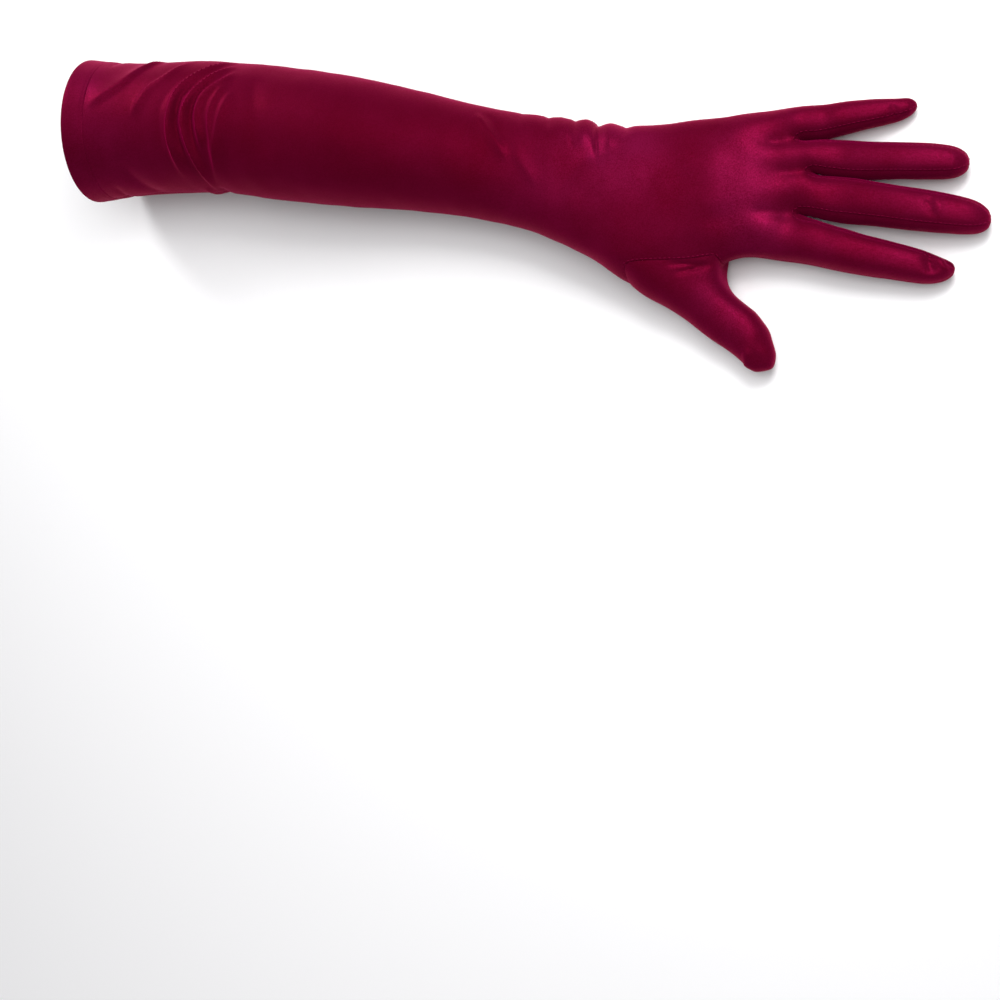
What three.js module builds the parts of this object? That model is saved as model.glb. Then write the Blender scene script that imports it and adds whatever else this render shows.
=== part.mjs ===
import * as THREE from 'three';

// A long left-hand satin glove in its worn form, palm down, fingers along +X and back of the hand up.
// The origin is the centre of the arm opening. All sizes are in millimetres.

// Driving sizes
const SLEEVE_LENGTH = 290;
const HAND_LENGTH = 213;
const HEM_WIDTH = 80;
const HEM_HEIGHT = 69;
const HEM_DEPTH = 13;
const HEM_WALL = 2;
const HEM_LIFT = 0.6;
const HEM_ROLL = 1;
const STITCH_DIP = 0.5;
const WRIST_WIDTH = 60;
const HAND_BREADTH = 73;
const HAND_THICKNESS = 31;
const ARM_SWEEP = 50;
const CLOTH_WALL = 1.2;
const WEB_WIDTH = 2.4;
const FINGER_ARCH = 2.5;
const THUMB_WIDTH = 22;
const THUMB_THICKNESS = 18.5;
const FOLD_DEPTH = 2.6;
const CREASE_DEPTH = 3;
const CREASE_WIDTH = 5;
const KNUCKLE_LIFT = 1.2;

// Clearance left at every seam
const SEAM_GAP = 0.3;

// How the mesh is laid out round the glove: three quads over each finger, two on each side
const FINGER_QUADS = 3;
const TOP_COUNT = 4 * FINGER_QUADS + 1;
const RING_COUNT = 2 * TOP_COUNT + 2;
const RADIAL = TOP_COUNT + 1;
const FLOOR_Z = -0.5 * HEM_HEIGHT;

// Distances along the glove are given as at: 0 at the hem, 1 at the wrist, 2 at the middle fingertip.
const alongGlove = at => (at < 1 ? at * SLEEVE_LENGTH : SLEEVE_LENGTH + (at - 1) * HAND_LENGTH);

// Sleeve and palm sections. side: share of ARM_SWEEP towards the thumb side;
// wide and tall: size across the section; full: 2 for an ellipse, more for a squarer section.
const SECTIONS = [
  { at: 0.000, side: 0.000, wide: 1.000 * HEM_WIDTH, tall: 1.000 * HEM_HEIGHT, full: 2.0 },
  { at: 0.035, side: 0.006, wide: 0.963 * HEM_WIDTH, tall: 0.970 * HEM_HEIGHT, full: 2.0 },
  { at: 0.121, side: 0.014, wide: 0.915 * HEM_WIDTH, tall: 0.930 * HEM_HEIGHT, full: 2.0 },
  { at: 0.255, side: 0.038, wide: 0.905 * HEM_WIDTH, tall: 0.910 * HEM_HEIGHT, full: 2.0 },
  { at: 0.340, side: 0.099, wide: 0.905 * HEM_WIDTH, tall: 0.900 * HEM_HEIGHT, full: 2.0 },
  { at: 0.404, side: 0.160, wide: 0.916 * HEM_WIDTH, tall: 0.890 * HEM_HEIGHT, full: 2.0 },
  { at: 0.538, side: 0.284, wide: 1.180 * WRIST_WIDTH, tall: 0.995 * WRIST_WIDTH, full: 2.0 },
  { at: 0.659, side: 0.411, wide: 1.095 * WRIST_WIDTH, tall: 0.915 * WRIST_WIDTH, full: 2.0 },
  { at: 0.770, side: 0.543, wide: 1.015 * WRIST_WIDTH, tall: 0.830 * WRIST_WIDTH, full: 2.0 },
  { at: 0.848, side: 0.658, wide: 1.000 * WRIST_WIDTH, tall: 0.760 * WRIST_WIDTH, full: 2.1 },
  { at: 0.926, side: 0.772, wide: 1.035 * WRIST_WIDTH, tall: 0.710 * WRIST_WIDTH, full: 2.2 },
  { at: 1.001, side: 0.909, wide: 0.935 * HAND_BREADTH, tall: 1.330 * HAND_THICKNESS, full: 2.3 },
  { at: 1.055, side: 0.995, wide: 1.000 * HAND_BREADTH, tall: 1.290 * HAND_THICKNESS, full: 2.3 },
  { at: 1.131, side: 1.129, wide: 1.110 * HAND_BREADTH, tall: 1.240 * HAND_THICKNESS, full: 2.3 },
  { at: 1.209, side: 1.125, wide: 1.108 * HAND_BREADTH, tall: 1.180 * HAND_THICKNESS, full: 2.3 },
  { at: 1.306, side: 1.074, wide: 1.075 * HAND_BREADTH, tall: 1.090 * HAND_THICKNESS, full: 2.4 },
  { at: 1.362, side: 1.041, wide: 1.040 * HAND_BREADTH, tall: 1.040 * HAND_THICKNESS, full: 2.4 },
  { at: 1.414, side: 0.990, wide: 0.995 * HAND_BREADTH, tall: 1.000 * HAND_THICKNESS, full: 2.5 },
  { at: 1.476, side: 0.990, wide: 1.005 * HAND_BREADTH, tall: 0.930 * HAND_THICKNESS, full: 2.5 },
  { at: 1.542, side: 1.000, wide: 1.060 * HAND_BREADTH, tall: 0.820 * HAND_THICKNESS, full: 2.5 },
];

// Fingers, with values for the root, the middle joint and the neck of the fingertip in turn.
// side: share of HAND_BREADTH from the middle of the hand; wide: share of HAND_BREADTH;
// tall: share of the finger's own width.
const FINGERS = [
  {
    name: 'little', tip: 1.826, tall: 0.90,
    at: [1.542, 1.662, 1.790], side: [0.423, 0.447, 0.483], wide: [0.225, 0.205, 0.146],
  },
  {
    name: 'ring', tip: 1.949, tall: 0.92,
    at: [1.561, 1.719, 1.896], side: [0.189, 0.145, 0.109], wide: [0.212, 0.243, 0.226],
  },
  {
    name: 'middle', tip: 2.000, tall: 0.86,
    at: [1.561, 1.740, 1.946], side: [-0.055, -0.169, -0.265], wide: [0.240, 0.284, 0.240],
  },
  {
    name: 'index', tip: 1.922, tall: 0.88,
    at: [1.535, 1.693, 1.837], side: [-0.367, -0.500, -0.601], wide: [0.325, 0.281, 0.222],
  },
];
const ROOT_TALL = 0.72 * HAND_THICKNESS;
const FINGER_STEPS = [0.1, 0.21, 0.32, 0.43, 0.54, 0.65, 0.76, 0.86, 0.935, 0.982];

// The webs between the fingers. side: share of HAND_BREADTH from the middle of the hand.
const WEBS = [
  { name: 'little_ring', at: 1.549, side: 0.296 },
  { name: 'ring_middle', at: 1.586, side: 0.082 },
  { name: 'middle_index', at: 1.542, side: -0.189 },
];

// Thumb sections after the hole. side: share of HAND_BREADTH from the middle of the hand;
// turn: degrees that the section is swung; wide and tall: share of the thumb's width and thickness.
const THUMB = [
  { step: 0.00, at: 1.249, side: -0.592, turn: 9, wide: 2.25, tall: 1.80 },
  { step: 0.12, at: 1.266, side: -0.651, turn: 13, wide: 2.00, tall: 1.70 },
  { step: 0.25, at: 1.290, side: -0.723, turn: 19, wide: 1.65, tall: 1.52 },
  { step: 0.40, at: 1.327, side: -0.822, turn: 27, wide: 1.32, tall: 1.30 },
  { step: 0.56, at: 1.370, side: -0.923, turn: 37, wide: 1.12, tall: 1.12 },
  { step: 0.78, at: 1.424, side: -1.066, turn: 51, wide: 0.99, tall: 1.02 },
  { step: 1.00, at: 1.477, side: -1.228, turn: 54, wide: 0.98, tall: 0.96 },
];
const THUMB_STEPS = [0.1, 0.2, 0.31, 0.43, 0.56, 0.69, 0.8, 0.89, 0.955, 0.988];
const THUMB_HOLE = { from: 1.133, to: 1.362, quads: 4, top: 134, under: [212, 238] };

// Ring folds at the elbow, a row for each valley: how far along it crosses the little-finger side,
// the top, the thumb side and the underside; depth: share of FOLD_DEPTH.
const ELBOW_FOLDS = [
  { outer: 0.239, top: 0.180, thumb: 0.201, under: 0.208, depth: 0.55 },
  { outer: 0.260, top: 0.206, thumb: 0.225, under: 0.232, depth: 0.90 },
  { outer: 0.281, top: 0.232, thumb: 0.250, under: 0.258, depth: 1.00 },
  { outer: 0.302, top: 0.258, thumb: 0.272, under: 0.284, depth: 1.00 },
  { outer: 0.323, top: 0.284, thumb: 0.295, under: 0.310, depth: 0.95 },
  { outer: 0.343, top: 0.310, thumb: 0.317, under: 0.336, depth: 0.80 },
  { outer: 0.366, top: 0.338, thumb: 0.343, under: 0.364, depth: 0.45 },
];

// Creases and puckers, a row for each, with at and turn for each end. turn: degrees round from the
// little-finger side over the top; lift: share of CREASE_DEPTH, below zero for a valley;
// spread: half width as a share of CREASE_WIDTH.
const CREASES = [
  { at: [0.170, 0.069], turn: [5, 75], lift: -0.85, spread: 1.00 },
  { at: [0.147, 0.049], turn: [20, 95], lift: 0.55, spread: 0.90 },
  { at: [0.217, 0.125], turn: [15, 95], lift: -0.80, spread: 0.90 },
  { at: [0.194, 0.097], turn: [10, 95], lift: 0.55, spread: 0.90 },
  { at: [0.101, 0.156], turn: [120, 185], lift: -0.45, spread: 1.00 },
  { at: [0.390, 0.434], turn: [40, 120], lift: -0.40, spread: 1.10 },
  { at: [0.409, 0.373], turn: [-70, 10], lift: -0.35, spread: 1.00 },
  { at: [0.815, 0.902], turn: [20, 88], lift: -0.70, spread: 0.80 },
  { at: [0.798, 0.881], turn: [25, 92], lift: 0.35, spread: 0.90 },
  { at: [0.916, 0.923], turn: [-40, 40], lift: -0.45, spread: 0.60 },
  { at: [0.942, 0.950], turn: [-30, 48], lift: 0.55, spread: 0.84 },
  { at: [0.968, 0.982], turn: [-30, 52], lift: -0.75, spread: 0.52 },
  { at: [0.987, 1.003], turn: [-28, 55], lift: 0.60, spread: 0.76 },
  { at: [1.008, 1.032], turn: [-30, 60], lift: -0.75, spread: 0.56 },
  { at: [1.041, 1.065], turn: [-28, 62], lift: 0.70, spread: 0.80 },
  { at: [1.077, 1.100], turn: [-30, 60], lift: -0.60, spread: 0.60 },
  { at: [1.119, 1.140], turn: [-25, 45], lift: 0.30, spread: 0.90 },
];

// Knuckles on the back of the hand. side: share of HAND_BREADTH from the middle of the hand.
const KNUCKLES = [
  { at: 1.445, side: 0.375 },
  { at: 1.476, side: 0.155 },
  { at: 1.485, side: -0.070 },
  { at: 1.457, side: -0.310 },
];
const KNUCKLE_SPREAD = 0.11 * HAND_BREADTH;

// Stations of the plain cloth, from the elbow to the thumb
const STATIONS = [
  0.416, 0.468, 0.520, 0.576, 0.631, 0.687, 0.742, 0.791, 0.826, 0.857, 0.888, 0.912,
  0.930, 0.947, 0.966, 0.983, 1.001, 1.027, 1.053, 1.081, 1.107,
];

// The cloth of the back and palm is cut across into lengths that each stay open in collision.
// from: the station where each one starts
const LENGTHS = [
  { name: 'upper_sleeve', from: 0 },
  { name: 'forearm', from: 0.520 },
  { name: 'hand', from: 1.001 },
];

const handSide = side => side * HAND_BREADTH - ARM_SWEEP;
const radians = THREE.MathUtils.degToRad;
const lerp = THREE.MathUtils.lerp;
const smooth = (value, from, to) => THREE.MathUtils.smoothstep(value, from, to);

// A smooth curve through a column of a table, against the place that each row stands at
function curve(rows, placeOf, column, place) {
  const last = rows.length - 1;
  const slope = index => {
    const a = rows[Math.max(index - 1, 0)];
    const b = rows[Math.min(index + 1, last)];
    return (b[column] - a[column]) / (placeOf(b) - placeOf(a));
  };
  let index = 0;
  while (index < last - 1 && place > placeOf(rows[index + 1])) index += 1;
  const a = rows[index];
  const b = rows[index + 1];
  const span = placeOf(b) - placeOf(a);
  const t = (place - placeOf(a)) / span;
  const rise = t * t * (3 - 2 * t);
  const lead = t * (1 - t) * (1 - t) * span * slope(index);
  const tail = t * t * (t - 1) * span * slope(index + 1);
  return lerp(a[column], b[column], rise) + lead + tail;
}

// A point on a squared ellipse with the given half sizes
function squircle(half, rise, full, turn) {
  const power = 2 / full;
  const bend = value => Math.sign(value) * Math.abs(value) ** power;
  return [half * bend(Math.cos(turn)), rise * bend(Math.sin(turn))];
}

// Section of the sleeve or palm at a distance along the glove
function section(x) {
  const read = column => curve(SECTIONS, row => alongGlove(row.at), column, x);
  const rise = 0.5 * read('tall');
  return {
    y: -ARM_SWEEP * read('side'),
    z: FLOOR_Z + rise,
    half: 0.5 * read('wide'),
    rise,
    full: read('full'),
  };
}

function sectionPoint(x, turn) {
  const s = section(x);
  const [across, up] = squircle(s.half, s.rise, s.full, turn);
  return new THREE.Vector3(x, s.y + across, s.z + up);
}

// Finger section: the three rows of the table joined by a parabola
function through(values, t) {
  const [a, b, c] = values;
  const m = 0.52;
  const left = (1 - t) * (m - t) / m;
  const middle = t * (1 - t) / (m * (1 - m));
  const right = t * (t - m) / (1 - m);
  return a * left + b * middle + c * right;
}

function fingerSection(finger, share) {
  const neck = finger.at[2];
  const root = finger.at[0];
  const at = lerp(root, finger.tip, share);
  const t = Math.min((at - root) / (neck - root), 1.12);
  const past = Math.max((at - neck) / (finger.tip - neck), 0);
  const round = Math.sqrt(Math.max(1 - past * past, 0));
  const wide = HAND_BREADTH * through(finger.wide, t);
  const swell = lerp(ROOT_TALL, finger.tall * wide, smooth(share, 0, 0.3));
  const tall = Math.max(swell, finger.tall * wide * 0.9);
  return {
    x: alongGlove(at),
    y: handSide(through(finger.side, t)),
    z: FLOOR_Z + 0.5 * tall + FINGER_ARCH * Math.sin(Math.PI * share),
    half: 0.5 * wide * round,
    rise: 0.5 * tall * round,
  };
}

// The whole outer surface: points, and faces that each belong to a piece
const points = [];
const faces = [];

function addPoint(position, lift = 0) {
  points.push({ base: position, lift });
  return points.length - 1;
}

function addFace(piece, ...corners) {
  faces.push({ piece, corners: corners.filter((corner, i) => corners.indexOf(corner) === i) });
}

// Height of the elbow folds at a point of the sleeve
function foldLine(fold, turn) {
  const c = Math.cos(turn);
  const s = Math.sin(turn);
  const across = c > 0 ? c * c * fold.outer : c * c * fold.thumb;
  const upright = s > 0 ? s * s * fold.top : s * s * fold.under;
  return alongGlove(across + upright);
}

const topPitch = alongGlove(ELBOW_FOLDS[1].top) - alongGlove(ELBOW_FOLDS[0].top);

function foldHeight(order, turn) {
  const index = Math.floor(order);
  const next = Math.min(index + 1, ELBOW_FOLDS.length - 1);
  const gap = foldLine(ELBOW_FOLDS[next], turn) - foldLine(ELBOW_FOLDS[Math.max(next - 1, 0)], turn);
  const depth = lerp(ELBOW_FOLDS[index].depth, ELBOW_FOLDS[next].depth, order - index);
  const envelope = 0.3 + 0.7 * smooth(Math.sin(turn), -0.7, 0.6);
  const wave = -Math.cos(2 * Math.PI * (order - index));
  return 0.5 * FOLD_DEPTH * depth * envelope * wave * Math.min(gap / topPitch, 1);
}

// Height of the creases and knuckles at a point of the sleeve or palm
function creaseHeight(point, turn) {
  const girth = section(point.x).half;
  let height = 0;
  for (const crease of CREASES) {
    const [x0, x1] = crease.at.map(alongGlove);
    const v0 = radians(crease.turn[0]) * girth;
    const v1 = radians(crease.turn[1]) * girth;
    const v = (turn > Math.PI * 1.4 ? turn - 2 * Math.PI : turn) * girth;
    const length = Math.hypot(x1 - x0, v1 - v0);
    const along = ((point.x - x0) * (x1 - x0) + (v - v0) * (v1 - v0)) / length;
    const off = ((point.x - x0) * (v1 - v0) - (v - v0) * (x1 - x0)) / length;
    const start = smooth(along, -0.15 * length, 0.3 * length);
    const end = 1 - smooth(along, 0.7 * length, 1.15 * length);
    const across = Math.exp(-((off / (crease.spread * CREASE_WIDTH)) ** 2));
    height += CREASE_DEPTH * crease.lift * start * end * across;
  }
  for (const knuckle of KNUCKLES) {
    const dx = point.x - alongGlove(knuckle.at);
    const dy = point.y - handSide(knuckle.side);
    const near = Math.exp(-(dx * dx + dy * dy) / (KNUCKLE_SPREAD * KNUCKLE_SPREAD));
    height += Math.sin(turn) > 0 ? KNUCKLE_LIFT * near : 0;
  }
  return height;
}

// Where the points of a ring lie round the section, in radians from the little-finger side:
// even on the arm, spread round the thumb hole, and lined up with the fingers at the webs.
const evenTurns = Array.from({ length: RING_COUNT }, (_, i) => 2 * Math.PI * i / RING_COUNT);

const thumbTurns = evenTurns.map((turn, i) => {
  const first = 14;
  if (i === 0) return 0;
  if (i < RADIAL) return radians(lerp(first, THUMB_HOLE.top, (i - 1) / (TOP_COUNT - 1)));
  if (i === RADIAL) return Math.PI;
  if (i === RADIAL + 1) return radians(THUMB_HOLE.under[0]);
  return radians(lerp(THUMB_HOLE.under[1], 360 - first, (i - RADIAL - 2) / (TOP_COUNT - 2)));
});

function fingerRing(finger, share) {
  const s = fingerSection(finger, share);
  return Array.from({ length: 10 }, (_, i) => {
    const [across, up] = squircle(s.half, s.rise, 2.2, i * Math.PI / 5);
    return new THREE.Vector3(s.x, s.y + across, s.z + up);
  });
}

// Roots of the fingers, slanted so that they meet the webs
const roots = FINGERS.map((finger, i) => {
  const ring = fingerRing(finger, 0);
  const s = fingerSection(finger, 0);
  const left = WEBS[i - 1] ?? { at: finger.at[0] - 0.010 };
  const right = WEBS[i] ?? { at: finger.at[0] - 0.020 };
  const leftY = i === 0 ? s.y + s.half : handSide(left.side) - 0.5 * WEB_WIDTH;
  const rightY = i === WEBS.length ? s.y - s.half : handSide(right.side) + 0.5 * WEB_WIDTH;
  for (const point of ring) {
    const t = THREE.MathUtils.clamp((s.y + s.half - point.y) / (2 * s.half), 0, 1);
    point.y = lerp(leftY, rightY, t);
    point.x = alongGlove(lerp(left.at, right.at, t));
  }
  return ring;
});

// Ring positions at the webs, with the two sides of each web as one point
const webRing = [];
{
  const top = [];
  const under = [];
  roots.forEach((ring, i) => {
    const firstTop = i === 0 ? 1 : 2;
    if (i > 0) {
      top[top.length - 1] = top[top.length - 1].clone().lerp(ring[1], 0.5);
      under[under.length - 1] = under[under.length - 1].clone().lerp(ring[9], 0.5);
    }
    for (let k = firstTop; k <= 4; k += 1) {
      top.push(ring[k]);
      under.push(ring[10 - k]);
    }
  });
  webRing.push(roots[0][0], ...top, roots[3][5], ...under.reverse());
}

const webTurns = webRing.map((point, i) => {
  const s = section(alongGlove(SECTIONS[SECTIONS.length - 1].at));
  const share = THREE.MathUtils.clamp((point.y - s.y) / s.half, -1, 1);
  const flat = Math.sign(share) * Math.abs(share) ** (s.full / 2);
  const turn = Math.acos(flat);
  return i > RADIAL ? 2 * Math.PI - turn : turn;
});
webTurns[0] = 0;
webTurns[RADIAL] = Math.PI;

function ringTurns(at) {
  const toThumb = smooth(at, 0.965, THUMB_HOLE.from);
  const toWebs = smooth(at, THUMB_HOLE.to, 1.504);
  return evenTurns.map((turn, i) => lerp(lerp(turn, thumbTurns[i], toThumb), webTurns[i], toWebs));
}

// Rings of the sleeve: from the hem to the first fold, ridge and valley lines, then plain stations
const rings = [];
const FIRST_STEPS = 7;
for (let step = 0; step < FIRST_STEPS; step += 1) {
  rings.push(evenTurns.map(turn => {
    const x = lerp(HEM_DEPTH, foldLine(ELBOW_FOLDS[0], turn), step / FIRST_STEPS);
    return { x, turn, fold: 0 };
  }));
}
for (let order = 0; order <= ELBOW_FOLDS.length - 1; order += 0.5) {
  rings.push(evenTurns.map(turn => {
    const index = Math.floor(order);
    const next = Math.min(index + 1, ELBOW_FOLDS.length - 1);
    const x = lerp(foldLine(ELBOW_FOLDS[index], turn), foldLine(ELBOW_FOLDS[next], turn), order - index);
    return { x, turn, fold: foldHeight(order, turn) };
  }));
}
const holeStations = Array.from(
  { length: THUMB_HOLE.quads + 1 },
  (_, i) => lerp(THUMB_HOLE.from, THUMB_HOLE.to, i / THUMB_HOLE.quads),
);
const palmStations = [1.405, 1.445, 1.485];
for (const at of [...STATIONS, ...holeStations, ...palmStations]) {
  rings.push(ringTurns(at).map(turn => ({ x: alongGlove(at), turn, fold: 0 })));
}

const ringPoints = rings.map(ring => ring.map((spot, i) => {
  const point = sectionPoint(spot.x, spot.turn);
  const lift = spot.fold + creaseHeight(point, spot.turn);
  const blend = 0.5 * smooth(spot.x, alongGlove(1.421), alongGlove(1.528));
  point.z = lerp(point.z, webRing[i].z, blend);
  point.y = lerp(point.y, webRing[i].y, blend);
  return addPoint(point, lift);
}));

// Thumb hole: the block of quads that the thumb is set into
const holeStart = ringPoints.length - palmStations.length - THUMB_HOLE.quads - 1;
const inHole = (ring, i) => (
  ring >= holeStart && ring < holeStart + THUMB_HOLE.quads && i >= RADIAL - 1 && i <= RADIAL + 1
);
const lengthOf = ring => LENGTHS.findLast(row => alongGlove(row.from) <= rings[ring][0].x).name;
const panelOf = (ring, i) => `${i < RADIAL ? 'back' : 'palm'}_${lengthOf(ring)}`;

for (let ring = 0; ring < ringPoints.length - 1; ring += 1) {
  for (let i = 0; i < RING_COUNT; i += 1) {
    const next = (i + 1) % RING_COUNT;
    if (!inHole(ring, i)) {
      const [here, there] = [ringPoints[ring], ringPoints[ring + 1]];
      addFace(panelOf(ring, i), here[i], here[next], there[next], there[i]);
    }
  }
}

// Fingers: a tube of ten points round from each root to a rounded tip
const rootPoints = roots.map(ring => ring.map(point => addPoint(point)));
const lastRing = ringPoints[ringPoints.length - 1];
FINGERS.forEach((finger, f) => {
  const root = rootPoints[f];
  const lastFinger = FINGERS.length - 1;
  const firstTop = 1 + FINGER_QUADS * f;
  for (let k = 0; k < FINGER_QUADS; k += 1) {
    const i = firstTop + k;
    const u = RING_COUNT - i;
    addFace('back_hand', lastRing[i], lastRing[i + 1], root[k + 2], root[k + 1]);
    addFace('palm_hand', lastRing[u - 1], lastRing[u], root[9 - k], root[8 - k]);
  }
  if (f === 0) {
    addFace('back_hand', lastRing[0], lastRing[1], root[1], root[0]);
    addFace('palm_hand', lastRing[RING_COUNT - 1], lastRing[0], root[0], root[9]);
  }
  if (f === lastFinger) {
    addFace('back_hand', lastRing[RADIAL - 1], lastRing[RADIAL], root[5], root[4]);
    addFace('palm_hand', lastRing[RADIAL], lastRing[RADIAL + 1], root[6], root[5]);
  }
  const backPiece = `back_${finger.name}_finger`;
  const palmPiece = `palm_${finger.name}_finger`;
  const sidePiece = [
    f === 0 ? null : `fourchette_${WEBS[f - 1].name}`,
    f === lastFinger ? null : `fourchette_${WEBS[f].name}`,
  ];
  const pieceOf = k => {
    if (k === 0) return sidePiece[0] ?? backPiece;
    if (k === 9) return sidePiece[0] ?? palmPiece;
    if (k === 4) return sidePiece[1] ?? backPiece;
    if (k === 5) return sidePiece[1] ?? palmPiece;
    return k < 5 ? backPiece : palmPiece;
  };
  let here = root;
  for (const share of FINGER_STEPS) {
    const there = fingerRing(finger, share).map(point => addPoint(point));
    for (let k = 0; k < 10; k += 1) {
      const next = (k + 1) % 10;
      addFace(pieceOf(k), here[k], here[next], there[next], there[k]);
    }
    here = there;
  }
  const tip = fingerSection(finger, 1);
  const neck = fingerSection(finger, FINGER_STEPS[FINGER_STEPS.length - 1]);
  const ends = [0.3, -0.3].map(share => (
    addPoint(new THREE.Vector3(tip.x, tip.y + share * neck.half, neck.z))
  ));
  const middle = [here[0], ends[0], ends[1], here[5]];
  for (let k = 0; k < FINGER_QUADS; k += 1) {
    addFace(backPiece, here[k + 1], here[k + 2], middle[k + 1], middle[k]);
    addFace(palmPiece, middle[k], middle[k + 1], here[8 - k], here[9 - k]);
  }
});

// Webs: the narrow strips at the bottom of the fourchettes, and the darts of cloth that meet them
WEBS.forEach((web, f) => {
  const [left, right] = [rootPoints[f], rootPoints[f + 1]];
  const piece = `fourchette_${web.name}`;
  const i = 1 + FINGER_QUADS * (f + 1);
  addFace('back_hand', lastRing[i], right[1], left[4]);
  addFace('palm_hand', lastRing[RING_COUNT - i], left[6], right[9]);
  addFace(piece, left[4], right[1], right[0], left[5]);
  addFace(piece, left[5], right[0], right[9], left[6]);
});

// Thumb: a tube grown from the edge of the hole
const holeWide = THUMB_HOLE.quads;
const holeRound = 3;
const holePoint = (u, v) => ringPoints[holeStart + u][RADIAL - 1 + v];
const edge = [];
for (let v = 0; v < holeRound; v += 1) edge.push([0, v]);
for (let u = 0; u < holeWide; u += 1) edge.push([u, holeRound]);
for (let v = holeRound; v > 0; v -= 1) edge.push([holeWide, v]);
for (let u = holeWide; u > 0; u -= 1) edge.push([u, 0]);

function thumbSection(step) {
  const read = column => curve(THUMB, row => row.step, column, step);
  const roundFrom = 0.83;
  const past = Math.max((step - roundFrom) / (1 - roundFrom), 0);
  const round = Math.sqrt(Math.max(1 - past * past, 0));
  const rise = 0.5 * THUMB_THICKNESS * read('tall');
  return {
    x: alongGlove(read('at')),
    y: handSide(read('side')),
    z: FLOOR_Z + rise,
    swing: radians(read('turn')),
    half: 0.5 * THUMB_WIDTH * read('wide') * round,
    rise: rise * round,
  };
}

function thumbPoint(s, turn) {
  const [along, up] = squircle(s.half, s.rise, 2.2, turn);
  return new THREE.Vector3(s.x + along * Math.cos(s.swing), s.y + along * Math.sin(s.swing), s.z + up);
}

const edgeTurns = edge.map((_, k) => radians(141.4) + 2 * Math.PI * k / edge.length);
let thumbHere = edge.map(([u, v]) => holePoint(u, v));
const thumbRoot = thumbSection(0);
const rootShift = edge.map(([u, v], k) => (
  points[holePoint(u, v)].base.clone().sub(thumbPoint(thumbRoot, edgeTurns[k]))
));
for (const step of THUMB_STEPS) {
  const s = thumbSection(step);
  const fade = 1 - smooth(step, 0, 0.45);
  const thumbThere = edge.map((_, k) => (
    addPoint(thumbPoint(s, edgeTurns[k]).addScaledVector(rootShift[k], fade))
  ));
  edge.forEach((_, k) => {
    const next = (k + 1) % edge.length;
    addFace('thumb', thumbHere[k], thumbHere[next], thumbThere[next], thumbThere[k]);
  });
  thumbHere = thumbThere;
}
const thumbTip = thumbSection(1);
const thumbNeck = thumbSection(THUMB_STEPS[THUMB_STEPS.length - 1]);
const thumbGrid = {};
edge.forEach(([u, v], k) => {
  thumbGrid[`${u},${v}`] = thumbHere[k];
});
for (let u = 1; u < holeWide; u += 1) {
  for (let v = 1; v < holeRound; v += 1) {
    const along = 0.45 * thumbNeck.half * (2 * u / holeWide - 1);
    const up = 0.5 * thumbNeck.rise * (1 - 2 * v / holeRound);
    const spot = new THREE.Vector3(
      thumbTip.x + along * Math.cos(thumbTip.swing),
      thumbTip.y + along * Math.sin(thumbTip.swing),
      thumbTip.z + up,
    );
    thumbGrid[`${u},${v}`] = addPoint(spot);
  }
}
for (let u = 0; u < holeWide; u += 1) {
  for (let v = 0; v < holeRound; v += 1) {
    const at = (du, dv) => thumbGrid[`${u + du},${v + dv}`];
    addFace('thumb', at(0, 0), at(0, 1), at(1, 1), at(1, 0));
  }
}

// Normals of the plain surface; the folds and the cloth wall are both measured along them
function faceNormal(corners) {
  const [a, b, c, d] = corners.map(corner => points[corner].base);
  const first = d ? c.clone().sub(a) : b.clone().sub(a);
  const second = d ? d.clone().sub(b) : c.clone().sub(a);
  return first.cross(second).normalize();
}

const normals = points.map(() => new THREE.Vector3());
const touching = points.map(() => []);
for (const face of faces) {
  face.normal = faceNormal(face.corners);
  face.corners.forEach((corner, i) => {
    const count = face.corners.length;
    const here = points[corner].base;
    const before = points[face.corners[(i + count - 1) % count]].base.clone().sub(here);
    const after = points[face.corners[(i + 1) % count]].base.clone().sub(here);
    normals[corner].addScaledVector(face.normal, before.angleTo(after));
    touching[corner].push(face.normal);
  });
}
points.forEach((point, i) => {
  const normal = normals[i].normalize();
  const squareness = Math.min(...touching[i].map(other => other.dot(normal)));
  const wall = CLOTH_WALL / THREE.MathUtils.clamp(squareness, 0.7, 1);
  point.outer = point.base.clone().addScaledVector(normal, point.lift);
  point.inner = point.base.clone().addScaledVector(normal, point.lift - wall);
});

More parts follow.
